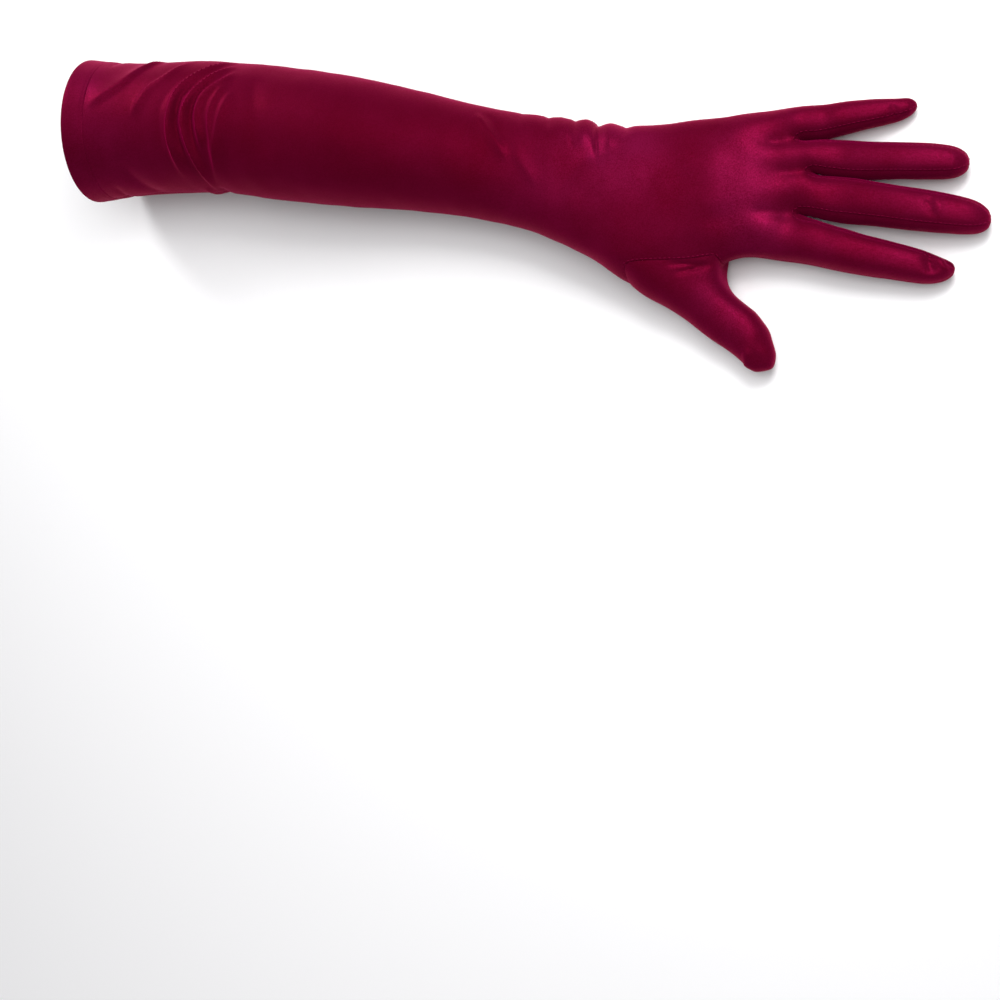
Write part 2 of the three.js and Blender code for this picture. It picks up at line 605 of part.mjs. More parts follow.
// Each piece as a closed solid: outer skin, inner skin and rims, drawn back from its seams
function shell(piece) {
  const own = faces.filter(face => face.piece === piece);
  const edges = new Map();
  for (const face of own) {
    face.corners.forEach((from, i) => {
      const to = face.corners[(i + 1) % face.corners.length];
      edges.set(`${from},${to}`, { from, to, face });
    });
  }
  const rims = [...edges.values()].filter(({ from, to }) => !edges.has(`${to},${from}`));
  const pulls = new Map();
  for (const { from, to, face } of rims) {
    const along = points[to].base.clone().sub(points[from].base).normalize();
    const inward = face.normal.clone().cross(along).normalize();
    for (const corner of [from, to]) {
      if (!pulls.has(corner)) pulls.set(corner, []);
      pulls.get(corner).push(inward.clone().projectOnPlane(normals[corner]).normalize());
    }
  }
  const shift = new Map();
  for (const [corner, inwards] of pulls) {
    const mean = inwards.reduce((sum, inward) => sum.add(inward), new THREE.Vector3()).normalize();
    const squareness = Math.min(...inwards.map(inward => inward.dot(mean)));
    shift.set(corner, mean.multiplyScalar(0.5 * SEAM_GAP / THREE.MathUtils.clamp(squareness, 0.5, 1)));
  }
  const positions = [];
  const put = (corner, side) => {
    const spot = points[corner][side].clone();
    if (shift.has(corner)) spot.add(shift.get(corner));
    positions.push(spot.x, spot.y, spot.z);
  };
  for (const { corners } of own) {
    for (let i = 1; i < corners.length - 1; i += 1) {
      [corners[0], corners[i], corners[i + 1]].forEach(corner => put(corner, 'outer'));
      [corners[0], corners[i + 1], corners[i]].forEach(corner => put(corner, 'inner'));
    }
  }
  // Both pieces at a seam split the rim along the same diagonal, so that the gap stays even
  for (const { from, to } of rims) {
    const rim = [[to, 'outer'], [from, 'outer'], [from, 'inner'], [to, 'inner']];
    const order = from < to ? [0, 1, 2, 0, 2, 3] : [0, 1, 3, 1, 2, 3];
    order.forEach(i => put(...rim[i]));
  }
  return positions;
}

// The hem band: cloth turned up and stitched, as a ring with a rolled edge
function hemBand() {
  const end = HEM_DEPTH - 0.5 * SEAM_GAP;
  const profile = [
    { x: 0, r: -0.5 * HEM_WALL },
    { x: 0.4 * HEM_ROLL, r: 0.2 },
    { x: 2 * HEM_ROLL, r: HEM_LIFT },
    { x: 0.7 * HEM_DEPTH, r: 0.8 * HEM_LIFT },
    { x: 0.86 * HEM_DEPTH, r: -STITCH_DIP },
    { x: end, r: 0 },
    { x: end, r: -CLOTH_WALL },
    { x: 0.7 * HEM_DEPTH, r: -HEM_WALL },
    { x: 2 * HEM_ROLL, r: -HEM_WALL },
    { x: 0.4 * HEM_ROLL, r: -0.9 * HEM_WALL },
  ];
  const spot = (i, k) => {
    const turn = evenTurns[k % RING_COUNT];
    const { x, r } = profile[i % profile.length];
    const s = section(x);
    const [across, up] = squircle(s.half, s.rise, s.full, turn);
    const out = new THREE.Vector2(across / s.half ** 2, up / s.rise ** 2).normalize();
    return [x, s.y + across + r * out.x, s.z + up + r * out.y];
  };
  const positions = [];
  for (let i = 0; i < profile.length; i += 1) {
    for (let k = 0; k < RING_COUNT; k += 1) {
      const [a, b, c, d] = [spot(i, k), spot(i, k + 1), spot(i + 1, k + 1), spot(i + 1, k)];
      positions.push(...a, ...b, ...c, ...a, ...c, ...d);
    }
  }
  return positions;
}

function piece(name, positions, colour) {
  const geometry = new THREE.BufferGeometry();
  geometry.setAttribute('position', new THREE.Float32BufferAttribute(positions, 3));
  geometry.computeVertexNormals();
  const material = new THREE.MeshStandardMaterial({ color: colour, roughness: 0.42, metalness: 0 });
  const mesh = new THREE.Mesh(geometry, material);
  mesh.name = name;
  return mesh;
}

const group = new THREE.Group();
group.name = 'long_satin_glove';
group.add(piece('hem_band', hemBand(), 0x7a0a2a));
for (const face of ['back', 'palm']) {
  const parts = [...LENGTHS.map(row => row.name), ...FINGERS.map(finger => `${finger.name}_finger`)];
  for (const part of parts) {
    group.add(piece(`${face}_${part}`, shell(`${face}_${part}`), 0x7d0b2c));
  }
}
for (const web of WEBS) {
  group.add(piece(`fourchette_${web.name}`, shell(`fourchette_${web.name}`), 0x740928));
}
group.add(piece('thumb', shell('thumb'), 0x7b0a2b));

export default group;
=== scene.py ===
# %% [markdown]
# A long satin glove, left hand, lying palm down in the form that an arm gives it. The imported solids
# set the size and place of everything, so they're loaded first.

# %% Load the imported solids
import math
import bpy
import bmesh
import numpy as np
from mathutils import Matrix, Vector
from mathutils import noise as blender_noise
from mathutils.kdtree import KDTree


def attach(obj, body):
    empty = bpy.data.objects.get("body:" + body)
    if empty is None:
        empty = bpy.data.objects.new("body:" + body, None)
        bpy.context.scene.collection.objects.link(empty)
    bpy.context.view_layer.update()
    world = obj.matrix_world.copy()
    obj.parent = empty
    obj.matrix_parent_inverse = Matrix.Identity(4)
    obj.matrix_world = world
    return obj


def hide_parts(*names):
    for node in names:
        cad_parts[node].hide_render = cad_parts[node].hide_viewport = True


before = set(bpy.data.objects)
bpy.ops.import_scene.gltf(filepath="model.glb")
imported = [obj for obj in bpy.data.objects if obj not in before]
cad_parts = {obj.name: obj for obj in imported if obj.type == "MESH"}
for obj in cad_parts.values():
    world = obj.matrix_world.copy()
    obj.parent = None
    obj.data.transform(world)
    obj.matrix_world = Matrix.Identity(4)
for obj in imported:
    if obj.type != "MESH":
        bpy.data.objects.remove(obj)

scene = bpy.context.scene
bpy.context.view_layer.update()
bpy.ops.object.select_all(action="DESELECT")

# %% [markdown]
# The camera stands above the glove and leans 24 degrees towards its fingertips, so the sleeve runs
# away from the lens and looks shorter. A camera turned about Y alone keeps the glove level.

# %% Camera
CAMERA_LEAN = math.radians(24)
CAMERA_TARGET = Vector((0.2243, -0.2087, -0.0600))
CAMERA_DISTANCE = 1.283

camera_data = bpy.data.cameras.new("camera")
camera_data.lens = 83.88
camera_data.sensor_width = 36
camera_data.clip_end = 20
camera = bpy.data.objects.new("camera", camera_data)
camera.rotation_euler = (0, CAMERA_LEAN, 0)
away = Vector((math.sin(CAMERA_LEAN), 0, math.cos(CAMERA_LEAN)))
camera.location = CAMERA_TARGET + CAMERA_DISTANCE * away
scene.collection.objects.link(camera)
scene.camera = camera
print("camera at", [round(value, 3) for value in camera.location])

# %% [markdown]
# The glove lies on plain white paper. The key light stands beyond the fingertips on the
# little-finger side, so shadows fall towards the thumb side. A small one lights the hem, and a wide
# one and a pale world keep the shadows open. Nothing here is part of the glove.

# %% Floor and lights
FLOOR_Z = -0.0356


def fill(node, values):
    """Sets the inputs of a node by their names."""
    for title, value in values.items():
        node.inputs[title].default_value = value


bpy.ops.mesh.primitive_plane_add(size=6, location=(0.3, -0.2, FLOOR_Z))
floor = bpy.context.active_object
floor.name = "floor"
paper = bpy.data.materials.new("white_paper")
paper.use_nodes = True
fill(paper.node_tree.nodes["Principled BSDF"], {
    "Base Color": (0.93, 0.93, 0.94, 1), "Roughness": 0.9, "Specular IOR Level": 0.1,
})
floor.data.materials.append(paper)


def soft_box(name, place, aim, size, watts, spread=180):
    """A square area light at a place, turned to shine at another. A grid narrows its spread."""
    data = bpy.data.lights.new(name, "AREA")
    data.size = size
    data.energy = watts
    data.spread = math.radians(spread)
    light = bpy.data.objects.new(name, data)
    light.location = place
    light.rotation_euler = (Vector(aim) - Vector(place)).to_track_quat("-Z", "Y").to_euler()
    scene.collection.objects.link(light)


soft_box("key_light", (0.60, 0.34, 0.56), (0.42, -0.06, 0), 0.34, 0.90, 76)
soft_box("hem_light", (-0.34, 0.40, 0.30), (0.05, 0.02, 0), 0.22, 0.50, 70)
soft_box("fill_light", (0.95, 0.38, 2.2), (0.3, -0.1, 0), 2.0, 36)
world = bpy.data.worlds.new("studio")
world.use_nodes = True
fill(world.node_tree.nodes["Background"], {"Color": (1.0, 0.99, 1.0, 1), "Strength": 0.36})
scene.world = world
scene.view_settings.view_transform = "Standard"
print("lights:", [light.name for light in bpy.data.lights])

# %% [markdown]
# The form of an arm and hand is read from short tables that also shaped the solids. Distances along
# the glove are shares: 0 at the hem, 1 at the wrist and 2 at the middle fingertip.

# %% Sizes
MM = 0.001
SLEEVE_LENGTH = 0.290
HAND_LENGTH = 0.213
HEM_WIDTH = 0.080
HEM_HEIGHT = 0.069
HEM_DEPTH = 0.013
WRIST_WIDTH = 0.060
HAND_BREADTH = 0.073
HAND_THICKNESS = 0.031
ARM_SWEEP = 0.050
THUMB_WIDTH = 0.022
THUMB_THICKNESS = 0.0185
CLOTH_WALL = 0.0011
BED_Z = -0.5 * HEM_HEIGHT


def along_glove(at):
    """Metres from the hem, for one share of the glove or many."""
    at = np.asarray(at, float)
    return np.where(at < 1, at * SLEEVE_LENGTH, SLEEVE_LENGTH + (at - 1) * HAND_LENGTH)[()]


def hand_side(side):
    return side * HAND_BREADTH - ARM_SWEEP


def smooth_step(value, start, end):
    t = np.clip((value - start) / (end - start), 0, 1)
    return t * t * (3 - 2 * t)


def mix(a, b, share):
    return a + (b - a) * share


print("glove length", SLEEVE_LENGTH + HAND_LENGTH)

# %% [markdown]
# The sleeve and palm are squared ellipses that change along the glove. Each group of sections leads
# with the width and height that its rows are shares of: the hem's, the wrist's, the hand's.

# %% Sections of the sleeve and palm
# at, side as a share of the sweep, width, height, fullness: 2 is an ellipse, more is squarer
SECTIONS = [
    (HEM_WIDTH, HEM_HEIGHT, [
        (0.000, 0.000, 1.000, 1.000, 2.0), (0.035, 0.006, 0.963, 0.970, 2.0),
        (0.121, 0.014, 0.915, 0.930, 2.0), (0.255, 0.038, 0.905, 0.910, 2.0),
        (0.340, 0.099, 0.905, 0.900, 2.0), (0.404, 0.160, 0.916, 0.890, 2.0),
    ]),
    (WRIST_WIDTH, WRIST_WIDTH, [
        (0.538, 0.284, 1.180, 0.995, 2.0), (0.659, 0.411, 1.095, 0.915, 2.0),
        (0.770, 0.543, 1.015, 0.830, 2.0), (0.848, 0.658, 1.000, 0.760, 2.1),
        (0.926, 0.772, 1.035, 0.710, 2.2),
    ]),
    (HAND_BREADTH, HAND_THICKNESS, [
        (1.001, 0.909, 0.935, 1.330, 2.3), (1.055, 0.995, 1.000, 1.290, 2.3),
        (1.131, 1.129, 1.110, 1.240, 2.3), (1.209, 1.125, 1.108, 1.180, 2.3),
        (1.306, 1.074, 1.075, 1.090, 2.4), (1.362, 1.041, 1.040, 1.040, 2.4),
        (1.414, 0.990, 0.995, 1.000, 2.5), (1.476, 0.990, 1.005, 0.930, 2.5),
        (1.542, 1.000, 1.060, 0.820, 2.5),
    ]),
]


def curve(places, values):
    """A smooth curve through a column of a table, for one place or many."""
    places, values = np.array(places, float), np.array(values, float)
    order = np.arange(len(places))
    before, after = np.maximum(order - 1, 0), np.minimum(order + 1, len(places) - 1)
    slopes = (values[after] - values[before]) / (places[after] - places[before])

    def read(place):
        index = np.clip(np.searchsorted(places, place) - 1, 0, len(places) - 2)
        span = places[index + 1] - places[index]
        t = (place - places[index]) / span
        lead = t * (1 - t) ** 2 * span * slopes[index]
        tail = t * t * (t - 1) * span * slopes[index + 1]
        return mix(values[index], values[index + 1], t * t * (3 - 2 * t)) + lead + tail

    return read


columns = list(zip(*[
    (at, side, wide * width, tall * height, full)
    for width, height, rows in SECTIONS
    for at, side, wide, tall, full in rows
]))
section_x = along_glove(columns[0])
read_side, read_wide, read_tall, read_full = [curve(section_x, column) for column in columns[1:]]


def section(x):
    """Centre, half width, half height and fullness of the sleeve or palm at x."""
    rise = 0.5 * read_tall(x)
    return -ARM_SWEEP * read_side(x), BED_Z + rise, 0.5 * read_wide(x), rise, read_full(x)


def squircle(half, rise, full, turn):
    """A point on a squared ellipse."""
    c, s = np.cos(turn), np.sin(turn)
    power = 2 / full
    return half * np.sign(c) * np.abs(c) ** power, rise * np.sign(s) * np.abs(s) ** power


print("wrist", round(2 * float(section(SLEEVE_LENGTH)[2]), 4), "m wide")

# %% [markdown]
# Subdivision pulls a cage inwards: a ring of n points ends up smaller by a known share. Each ring
# of the cage is made larger by that share, so the smooth cloth meets the arm's true outline.

# %% Rings of the cage
FINGER_QUADS = 3
TOP_COUNT = 4 * FINGER_QUADS + 1
RING_COUNT = 2 * TOP_COUNT + 2
RADIAL = TOP_COUNT + 1


def plump(count):
    """How much larger a ring of the cage is drawn than the smooth form it makes."""
    return 3 / (2 + math.cos(2 * math.pi / count))


def cage_ring(x, y, z, half, rise, full, turns):
    """Places of one upright ring of the cage."""
    grow = plump(len(turns))
    across, up = squircle(half * grow, rise * grow, full, turns)
    return np.stack([np.full(len(turns), x), y + across, z + up], axis=1)


THUMB_HOLE_FROM, THUMB_HOLE_TO, THUMB_HOLE_QUADS = 1.133, 1.362, 4
THUMB_SEAM_DROP = math.radians(14)
even_turns = np.arange(RING_COUNT) * 2 * math.pi / RING_COUNT
thumb_turns = np.radians(
    [0] + [mix(14, 134, i / (TOP_COUNT - 1)) for i in range(TOP_COUNT)] + [180, 212]
    + [mix(238, 346, i / (TOP_COUNT - 2)) for i in range(TOP_COUNT - 1)]
)
print("ring of", RING_COUNT, "points, drawn", round(plump(RING_COUNT), 4), "times the size")

# %% [markdown]
# A finger has a root, a joint and a neck, and a smooth curve runs through the three. The cloth is a
# little slack between them, so each side of a finger has its own small allowance.

# %% Sections of the fingers
# name, tip, height as a share of width, then for root, joint and neck: at, side, width
FINGERS = [
    ("little", 1.822, 0.90, (1.542, 1.662, 1.790), (0.423, 0.447, 0.483), (0.225, 0.205, 0.146)),
    ("ring", 1.949, 0.92, (1.561, 1.719, 1.896), (0.189, 0.145, 0.109), (0.212, 0.243, 0.226)),
    ("middle", 2.000, 0.86, (1.561, 1.740, 1.946), (-0.055, -0.169, -0.265), (0.240, 0.284, 0.240)),
    ("index", 1.922, 0.88, (1.535, 1.693, 1.837), (-0.367, -0.500, -0.601), (0.325, 0.281, 0.222)),
]
FINGER_STEPS = [0.07, 0.15, 0.24, 0.33, 0.42, 0.51, 0.60, 0.69, 0.78, 0.86, 0.92, 0.965, 0.993]
FINGER_TURNS = np.radians([0, 28, 60, 92, 122, 180, 216, 252, 288, 324])
FINGER_FULLNESS = 2.5
# along the glove and side of the web between each two fingers
WEBS = [(1.549, 0.296), (1.586, 0.082), (1.542, -0.189)]
ROOT_TALL = 0.72 * HAND_THICKNESS
FINGER_ARCH = 0.0025
WEB_DIP = 0.0025
# the slack of the cloth beyond the plain finger, in mm: little-finger side, then thumb side
SLACK_EDGES = {
    "little": (
        [(1.62, 0), (1.66, 0.7), (1.75, 0.8), (1.775, 0.3), (1.80, 1.0), (1.82, 1.2)],
        [(1.56, -0.6), (1.59, -1.2), (1.62, -0.5), (1.65, 0), (1.78, 0.3), (1.80, 1.2),
         (1.82, 1.6)],
    ),
    "ring": (
        [(1.57, 0.2), (1.60, 0.7), (1.65, 0.7), (1.70, 0)],
        [(1.59, 0), (1.61, -0.8), (1.64, -1.5), (1.70, -1.5), (1.75, -1.0), (1.85, -0.7),
         (1.93, -0.3)],
    ),
    "middle": (
        [(1.59, 0), (1.61, 0.5), (1.64, 0.9), (1.69, 0.9), (1.73, 0)],
        [(1.55, 0), (1.58, -2.2), (1.61, -3.6), (1.65, -2.6), (1.70, -1.2), (1.78, -0.9),
         (1.90, -0.7)],
    ),
    "index": (
        [(1.55, 0.2), (1.58, 1.1), (1.62, 0.5), (1.70, 0.2), (1.77, 0.9), (1.83, 0.8),
         (1.87, 0.3), (1.90, -0.8)],
        [(1.55, 0), (1.84, 0), (1.88, 0.6), (1.905, 1.6)],
    ),
}


def through(values, t):
    """A parabola through the root, joint and neck of a finger."""
    a, b, c = values
    m = 0.52
    return a * (1 - t) * (m - t) / m + b * t * (1 - t) / (m * (1 - m)) + c * t * (t - m) / (1 - m)


def closing(at, start, end):
    """1 up to the start, and then falling to 0 at the end as a round tip does."""
    past = max((at - start) / (end - start), 0)
    return math.sqrt(max(1 - past * past, 0))


def finger_section(finger, share):
    """Place, half width and half height of a finger, from its root at 0 to its tip at 1."""
    _, tip, tall, at, side, wide = finger
    here = mix(at[0], tip, share)
    t = min((here - at[0]) / (at[2] - at[0]), 1.12)
    width = HAND_BREADTH * through(wide, t)
    from_root = mix(ROOT_TALL, tall * width, smooth_step(share, 0, 0.3))
    height = max(from_root, 0.9 * tall * width)
    z = BED_Z + 0.5 * height + FINGER_ARCH * math.sin(math.pi * share)
    up, low = [MM * float(np.interp(here, *zip(*spots))) for spots in SLACK_EDGES[finger[0]]]
    y = hand_side(through(side, t)) + 0.5 * (up + low)
    half_of = 0.5 * closing(here, at[2], tip)
    return along_glove(here), y, z, half_of * (width + up - low), half_of * height


def finger_ring(finger, share):
    return cage_ring(*finger_section(finger, share), FINGER_FULLNESS, FINGER_TURNS)


for finger in FINGERS:
    print(finger[0], "finger", round(2 * finger_section(finger, 0.5)[3], 4), "m wide")

# %% [markdown]
# Where the fingers meet, each web is one upright line of three points that both neighbours share:
# top, middle and bottom. The palm's last ring is spread so that its points line up with them.

# %% The webs
roots = []
for index, finger in enumerate(FINGERS):
    ring = finger_ring(finger, 0)
    left = WEBS[index - 1] if index else (finger[3][0] - 0.010, 0)
    right = WEBS[index] if index < len(WEBS) else (finger[3][0] - 0.020, 0)
    left_y = hand_side(left[1]) if index else ring[0, 1]
    right_y = hand_side(right[1]) if index < len(WEBS) else ring[5, 1]
    share = np.clip((ring[0, 1] - ring[:, 1]) / (ring[0, 1] - ring[5, 1]), 0, 1)
    ring[:, 1] = mix(left_y, right_y, share)
    ring[:, 0] = along_glove(mix(left[0], right[0], share))
    roots.append(ring)
for one, two, (_, side) in zip(roots, roots[1:], WEBS):
    for k, m in [(4, 1), (5, 0), (6, 9)]:
        shared = 0.5 * (one[k] + two[m])
        shared[1] = hand_side(side)
        shared[0] -= WEB_DIP if k != 5 else 0
        one[k] = two[m] = shared

web_ring = [roots[0][0]]
for index, ring in enumerate(roots):
    web_ring += [ring[k] for k in range(1 if index == 0 else 2, 5)]
web_ring.append(roots[3][5])
for index, ring in reversed(list(enumerate(roots))):
    web_ring += [ring[10 - k] for k in range(4, 0 if index == 0 else 1, -1)]
web_ring = np.array(web_ring)
end_y, _, end_half, _, end_full = section(section_x[-1])
web_share = np.clip((web_ring[:, 1] - end_y) / end_half, -1, 1)
web_turns = np.arccos(np.sign(web_share) * np.abs(web_share) ** (end_full / 2))
web_turns[RADIAL + 1:] = 2 * math.pi - web_turns[RADIAL + 1:]
web_turns[0], web_turns[RADIAL] = 0, math.pi


def ring_turns(at):
    to_thumb = smooth_step(at, 0.965, THUMB_HOLE_FROM)
    to_webs = smooth_step(at, THUMB_HOLE_TO, 1.504)
    turns = mix(even_turns, thumb_turns, to_thumb)
    turns[TOP_COUNT] += THUMB_SEAM_DROP * smooth_step(at, 1.18, 1.34)
    return mix(turns, web_turns, to_webs)


print("web ring", web_ring.shape)

# %% [markdown]
# The sleeve is drawn ring after ring, as on a knitting machine: a circle primitive is the first
# ring, and each further one is an extrusion of the last, put in its place. Rings stand closer
# together where the cloth will be folded.

# %% Extrude a loop and place it
BACK, PALM, LITTLE_RING, RING_MIDDLE, MIDDLE_INDEX, THUMB_PIECE = range(6)


def place_tree(places, numbers):
    """A tree that finds the nearest of some places, each with its number."""
    tree = KDTree(len(places))
    for place, number in zip(places, numbers):
        tree.insert(place, number)
    tree.balance()
    return tree


def find_points(mesh, places):
    """The points of a mesh in edit mode that stand at the given places."""
    mesh.verts.ensure_lookup_table()
    tree = place_tree([point.co for point in mesh.verts], [point.index for point in mesh.verts])
    return [mesh.verts[tree.find(place)[1]] for place in places]


def select_loop(thing, loop):
    """Selects the closed loop of edges through the given places."""
    mesh = bmesh.from_edit_mesh(thing.data)
    bpy.ops.mesh.select_all(action="DESELECT")
    points = find_points(mesh, loop)
    for point, following in zip(points, points[1:] + points[:1]):
        mesh.edges.get((point, following)).select_set(True)
    mesh.select_flush_mode()


def extrude_loop(thing, loop, target, piece_of):
    """Extrudes the closed loop of edges at the places in loop to the places in target."""
    select_loop(thing, loop)
    bpy.ops.mesh.extrude_edges_move()
    mesh = bmesh.from_edit_mesh(thing.data)
    fresh = [point for point in mesh.verts if point.select]
    tree = place_tree(loop, range(len(loop)))
    number = {point.index: tree.find(point.co)[1] for point in fresh}
    for point in fresh:
        for face in point.link_faces:
            ends = sorted(number[p.index] for p in face.verts if p.index in number)
            face.material_index = piece_of(ends[-1] if ends == [0, len(loop) - 1] else ends[0])
    for point in fresh:
        point.co = target[number[point.index]]
    bmesh.update_edit_mesh(thing.data)


def draw_tube(name, rings, slots, piece_of):
    """A circle at the first ring, extruded from ring to ring. It is left in edit mode."""
    bpy.ops.mesh.primitive_circle_add(vertices=len(rings[0]), radius=0.5 * HEM_WIDTH)
    thing = bpy.context.active_object
    thing.name = name
    for _ in range(slots):
        thing.data.materials.append(None)
    for point, place in zip(thing.data.vertices, rings[0]):
        point.co = place
    bpy.ops.object.mode_set(mode="EDIT")
    bpy.ops.mesh.select_mode(type="EDGE")
    for here, there in zip(rings, rings[1:]):
        extrude_loop(thing, here, there, piece_of)
    return thing


print("numbers of the pieces:", BACK, "to", THUMB_PIECE)

# %% [markdown]
# Towards the fingers the rings bend little by little into the line of the webs, so that the last
# extrusion meets them.

# %% The sleeve and palm
# where each stretch of the glove starts, and how many rings it has
STRETCHES = [
    (HEM_DEPTH / SLEEVE_LENGTH, 2), (0.060, 30), (0.400, 14), (0.800, 7), (0.905, 16),
    (THUMB_HOLE_FROM, THUMB_HOLE_QUADS), (THUMB_HOLE_TO, 1), (1.400, 1), (1.438, 1), (1.475, 1),
    (1.510, 1), (1.542, 0),
]
rings = []
stations = [
    at for (start, count), (stop, _) in zip(STRETCHES, STRETCHES[1:])
    for at in np.linspace(start, stop, count, endpoint=False)
]
for at in stations:
    x = along_glove(at)
    ring = cage_ring(x, *section(x), ring_turns(at))
    blend = 0.6 * smooth_step(at, 1.395, 1.540)
    ring[:, 1:] = mix(ring[:, 1:], web_ring[:, 1:], blend)
    ring[:, 0] = mix(ring[:, 0], web_ring[:, 0] - (web_ring[:, 0].mean() - x), 0.8 * blend)
    rings.append(ring)

slots = THUMB_PIECE + 1
glove = draw_tube("glove", [*rings, web_ring], slots, lambda k: BACK if k < RADIAL else PALM)
print("sleeve and palm:", len(rings), "rings")

# %% [markdown]
# Each web gets its upright line: its top and bottom points are joined by an edge, which is cut in
# half for the middle point. That parts the palm's end into four finger holes. The side walls
# between two fingers are one narrow strip, a fourchette, so they're marked as a piece.

# %% Fingers
def finger_piece(order):
    """Which piece each of the ten strips round a finger belongs to."""
    left = [None, LITTLE_RING, RING_MIDDLE, MIDDLE_INDEX][order]
    right = [LITTLE_RING, RING_MIDDLE, MIDDLE_INDEX, None][order]

    def piece_of(k):
        if k in (0, 9) and left is not None:
            return left
        if k in (4, 5) and right is not None:
            return right
        return BACK if k < 5 else PALM

    return piece_of


def close_tip(loop, piece):
    """Closes the end of a finger with one small face."""
    select_loop(glove, loop)
    bpy.ops.mesh.edge_face_add()
    mesh = bmesh.from_edit_mesh(glove.data)
    for face in mesh.faces:
        if face.select:
            face.material_index = piece
    bmesh.update_edit_mesh(glove.data)


for root in roots[:-1]:
    top, middle, bottom = root[4:7]
    mesh = bmesh.from_edit_mesh(glove.data)
    bpy.ops.mesh.select_all(action="DESELECT")
    bpy.ops.mesh.select_mode(type="VERT")
    for point in find_points(mesh, [top, bottom]):
        point.select_set(True)
    bpy.ops.mesh.edge_face_add()
    bpy.ops.mesh.subdivide(number_cuts=1)
    mesh = bmesh.from_edit_mesh(glove.data)
    find_points(mesh, [0.5 * (top + bottom)])[0].co = middle
    bmesh.update_edit_mesh(glove.data)
    bpy.ops.mesh.select_mode(type="EDGE")

for index, finger in enumerate(FINGERS):
    loop = roots[index]
    for share in FINGER_STEPS:
        target = finger_ring(finger, share)
        extrude_loop(glove, loop, target, finger_piece(index))
        loop = target
    close_tip(loop, BACK)
print("with fingers:", len(bmesh.from_edit_mesh(glove.data).faces), "faces")

# %% [markdown]
# The thumb is cut on its own and set into a hole at the side of the palm. A block of faces is
# deleted for the hole, and its edge is extruded along the thumb. The first rings keep some of the
# hole's shape and lose it little by little.

# %% Thumb
# step, at, side, degrees swung, width and thickness as shares of the thumb's
THUMB = [
    (0.00, 1.249, -0.592, 9, 2.25, 1.80),
    (0.12, 1.266, -0.651, 13, 2.00, 1.70),
    (0.25, 1.290, -0.723, 19, 1.65, 1.52),
    (0.40, 1.327, -0.822, 27, 1.32, 1.30),
    (0.56, 1.370, -0.923, 37, 1.12, 1.12),
    (0.78, 1.424, -1.066, 51, 0.99, 1.02),
    (1.00, 1.477, -1.228, 54, 0.98, 0.96),
]
THUMB_STEPS = [0.08, 0.17, 0.26, 0.35, 0.44, 0.53, 0.62, 0.71, 0.80, 0.87, 0.93, 0.97, 0.993]
THUMB_ROUND_FROM = 0.83
THUMB_FULLNESS = 2.2
thumb_columns = list(zip(*THUMB))
read_thumb = [curve(thumb_columns[0], column) for column in thumb_columns[1:]]


def thumb_section(step):
    at, side, swung, wide, tall = [read(step) for read in read_thumb]
    half, rise = 0.5 * THUMB_WIDTH * wide, 0.5 * THUMB_THICKNESS * tall
    place = np.array([along_glove(at), hand_side(side), BED_Z + rise])
    share = closing(step, THUMB_ROUND_FROM, 1)
    return place, math.radians(swung), half * share, rise * share


def thumb_ring(step, turns):
    place, swung, half, rise = thumb_section(step)
    grow = mix(1, plump(len(turns)), smooth_step(step, 0, 0.5))
    along, up = squircle(half * grow, rise * grow, THUMB_FULLNESS, turns)
    return place + np.stack([along * math.cos(swung), along * math.sin(swung), up], axis=1)


first = stations.index(THUMB_HOLE_FROM)
wide, high = THUMB_HOLE_QUADS, 3
edge = [(0, v) for v in range(high)] + [(u, high) for u in range(wide)]
edge += [(wide, v) for v in range(high, 0, -1)] + [(u, 0) for u in range(wide, 0, -1)]
hole_loop = np.array([rings[first + u][RADIAL - 1 + v] for u, v in edge])
edge_turns = math.radians(141.4) + np.arange(len(edge)) * 2 * math.pi / len(edge)

mesh = bmesh.from_edit_mesh(glove.data)
bpy.ops.mesh.select_mode(type="FACE")
bpy.ops.mesh.select_all(action="DESELECT")
block = [ring[RADIAL - 1:RADIAL + high] for ring in rings[first:first + wide + 1]]
corners = set(find_points(mesh, np.concatenate(block)))
for face in mesh.faces:
    if corners.issuperset(face.verts):
        face.select_set(True)
bpy.ops.mesh.delete(type="FACE")
bpy.ops.mesh.select_mode(type="EDGE")

root_shift = hole_loop - thumb_ring(0, edge_turns)
loop = hole_loop
for step in THUMB_STEPS:
    fade = 1 - smooth_step(step, 0, 0.45)
    target = thumb_ring(step, edge_turns) + fade * root_shift
    extrude_loop(glove, loop, target, lambda k: THUMB_PIECE)
    loop = target
close_tip(loop, THUMB_PIECE)

bpy.ops.mesh.select_all(action="SELECT")
bpy.ops.mesh.normals_make_consistent(inside=False)
cage_faces = len(bmesh.from_edit_mesh(glove.data).faces)
bpy.ops.object.mode_set(mode="OBJECT")
print("cage:", cage_faces, "faces")

# %% [markdown]
# Two levels of subdivision round the cage into smooth cloth, with a point about every 2 mm round
# the arm, and every millimetre along it at the elbow.

# %% Smooth cloth
def pick(*things):
    """Selects the given objects alone. The first is the active one."""
    bpy.ops.object.select_all(action="DESELECT")
    for thing in things:
        thing.select_set(True)
    bpy.context.view_layer.objects.active = things[0]


def apply_modifier(thing, kind, **settings):
    """Adds a modifier with the given settings and applies it."""
    pick(thing)
    modifier = thing.modifiers.new(kind.lower(), kind)
    for title, value in settings.items():
        setattr(modifier, title, value)
    bpy.ops.object.modifier_apply(modifier=modifier.name)


apply_modifier(glove, "SUBSURF", levels=2)
print("cloth:", len(glove.data.vertices), "points")

# %% [markdown]
# Folds and creases are moved out of the smooth cloth along its normals. Each is a line of a few
# places, a height, and a width on each side, so a fold can have one steep side and one soft one.

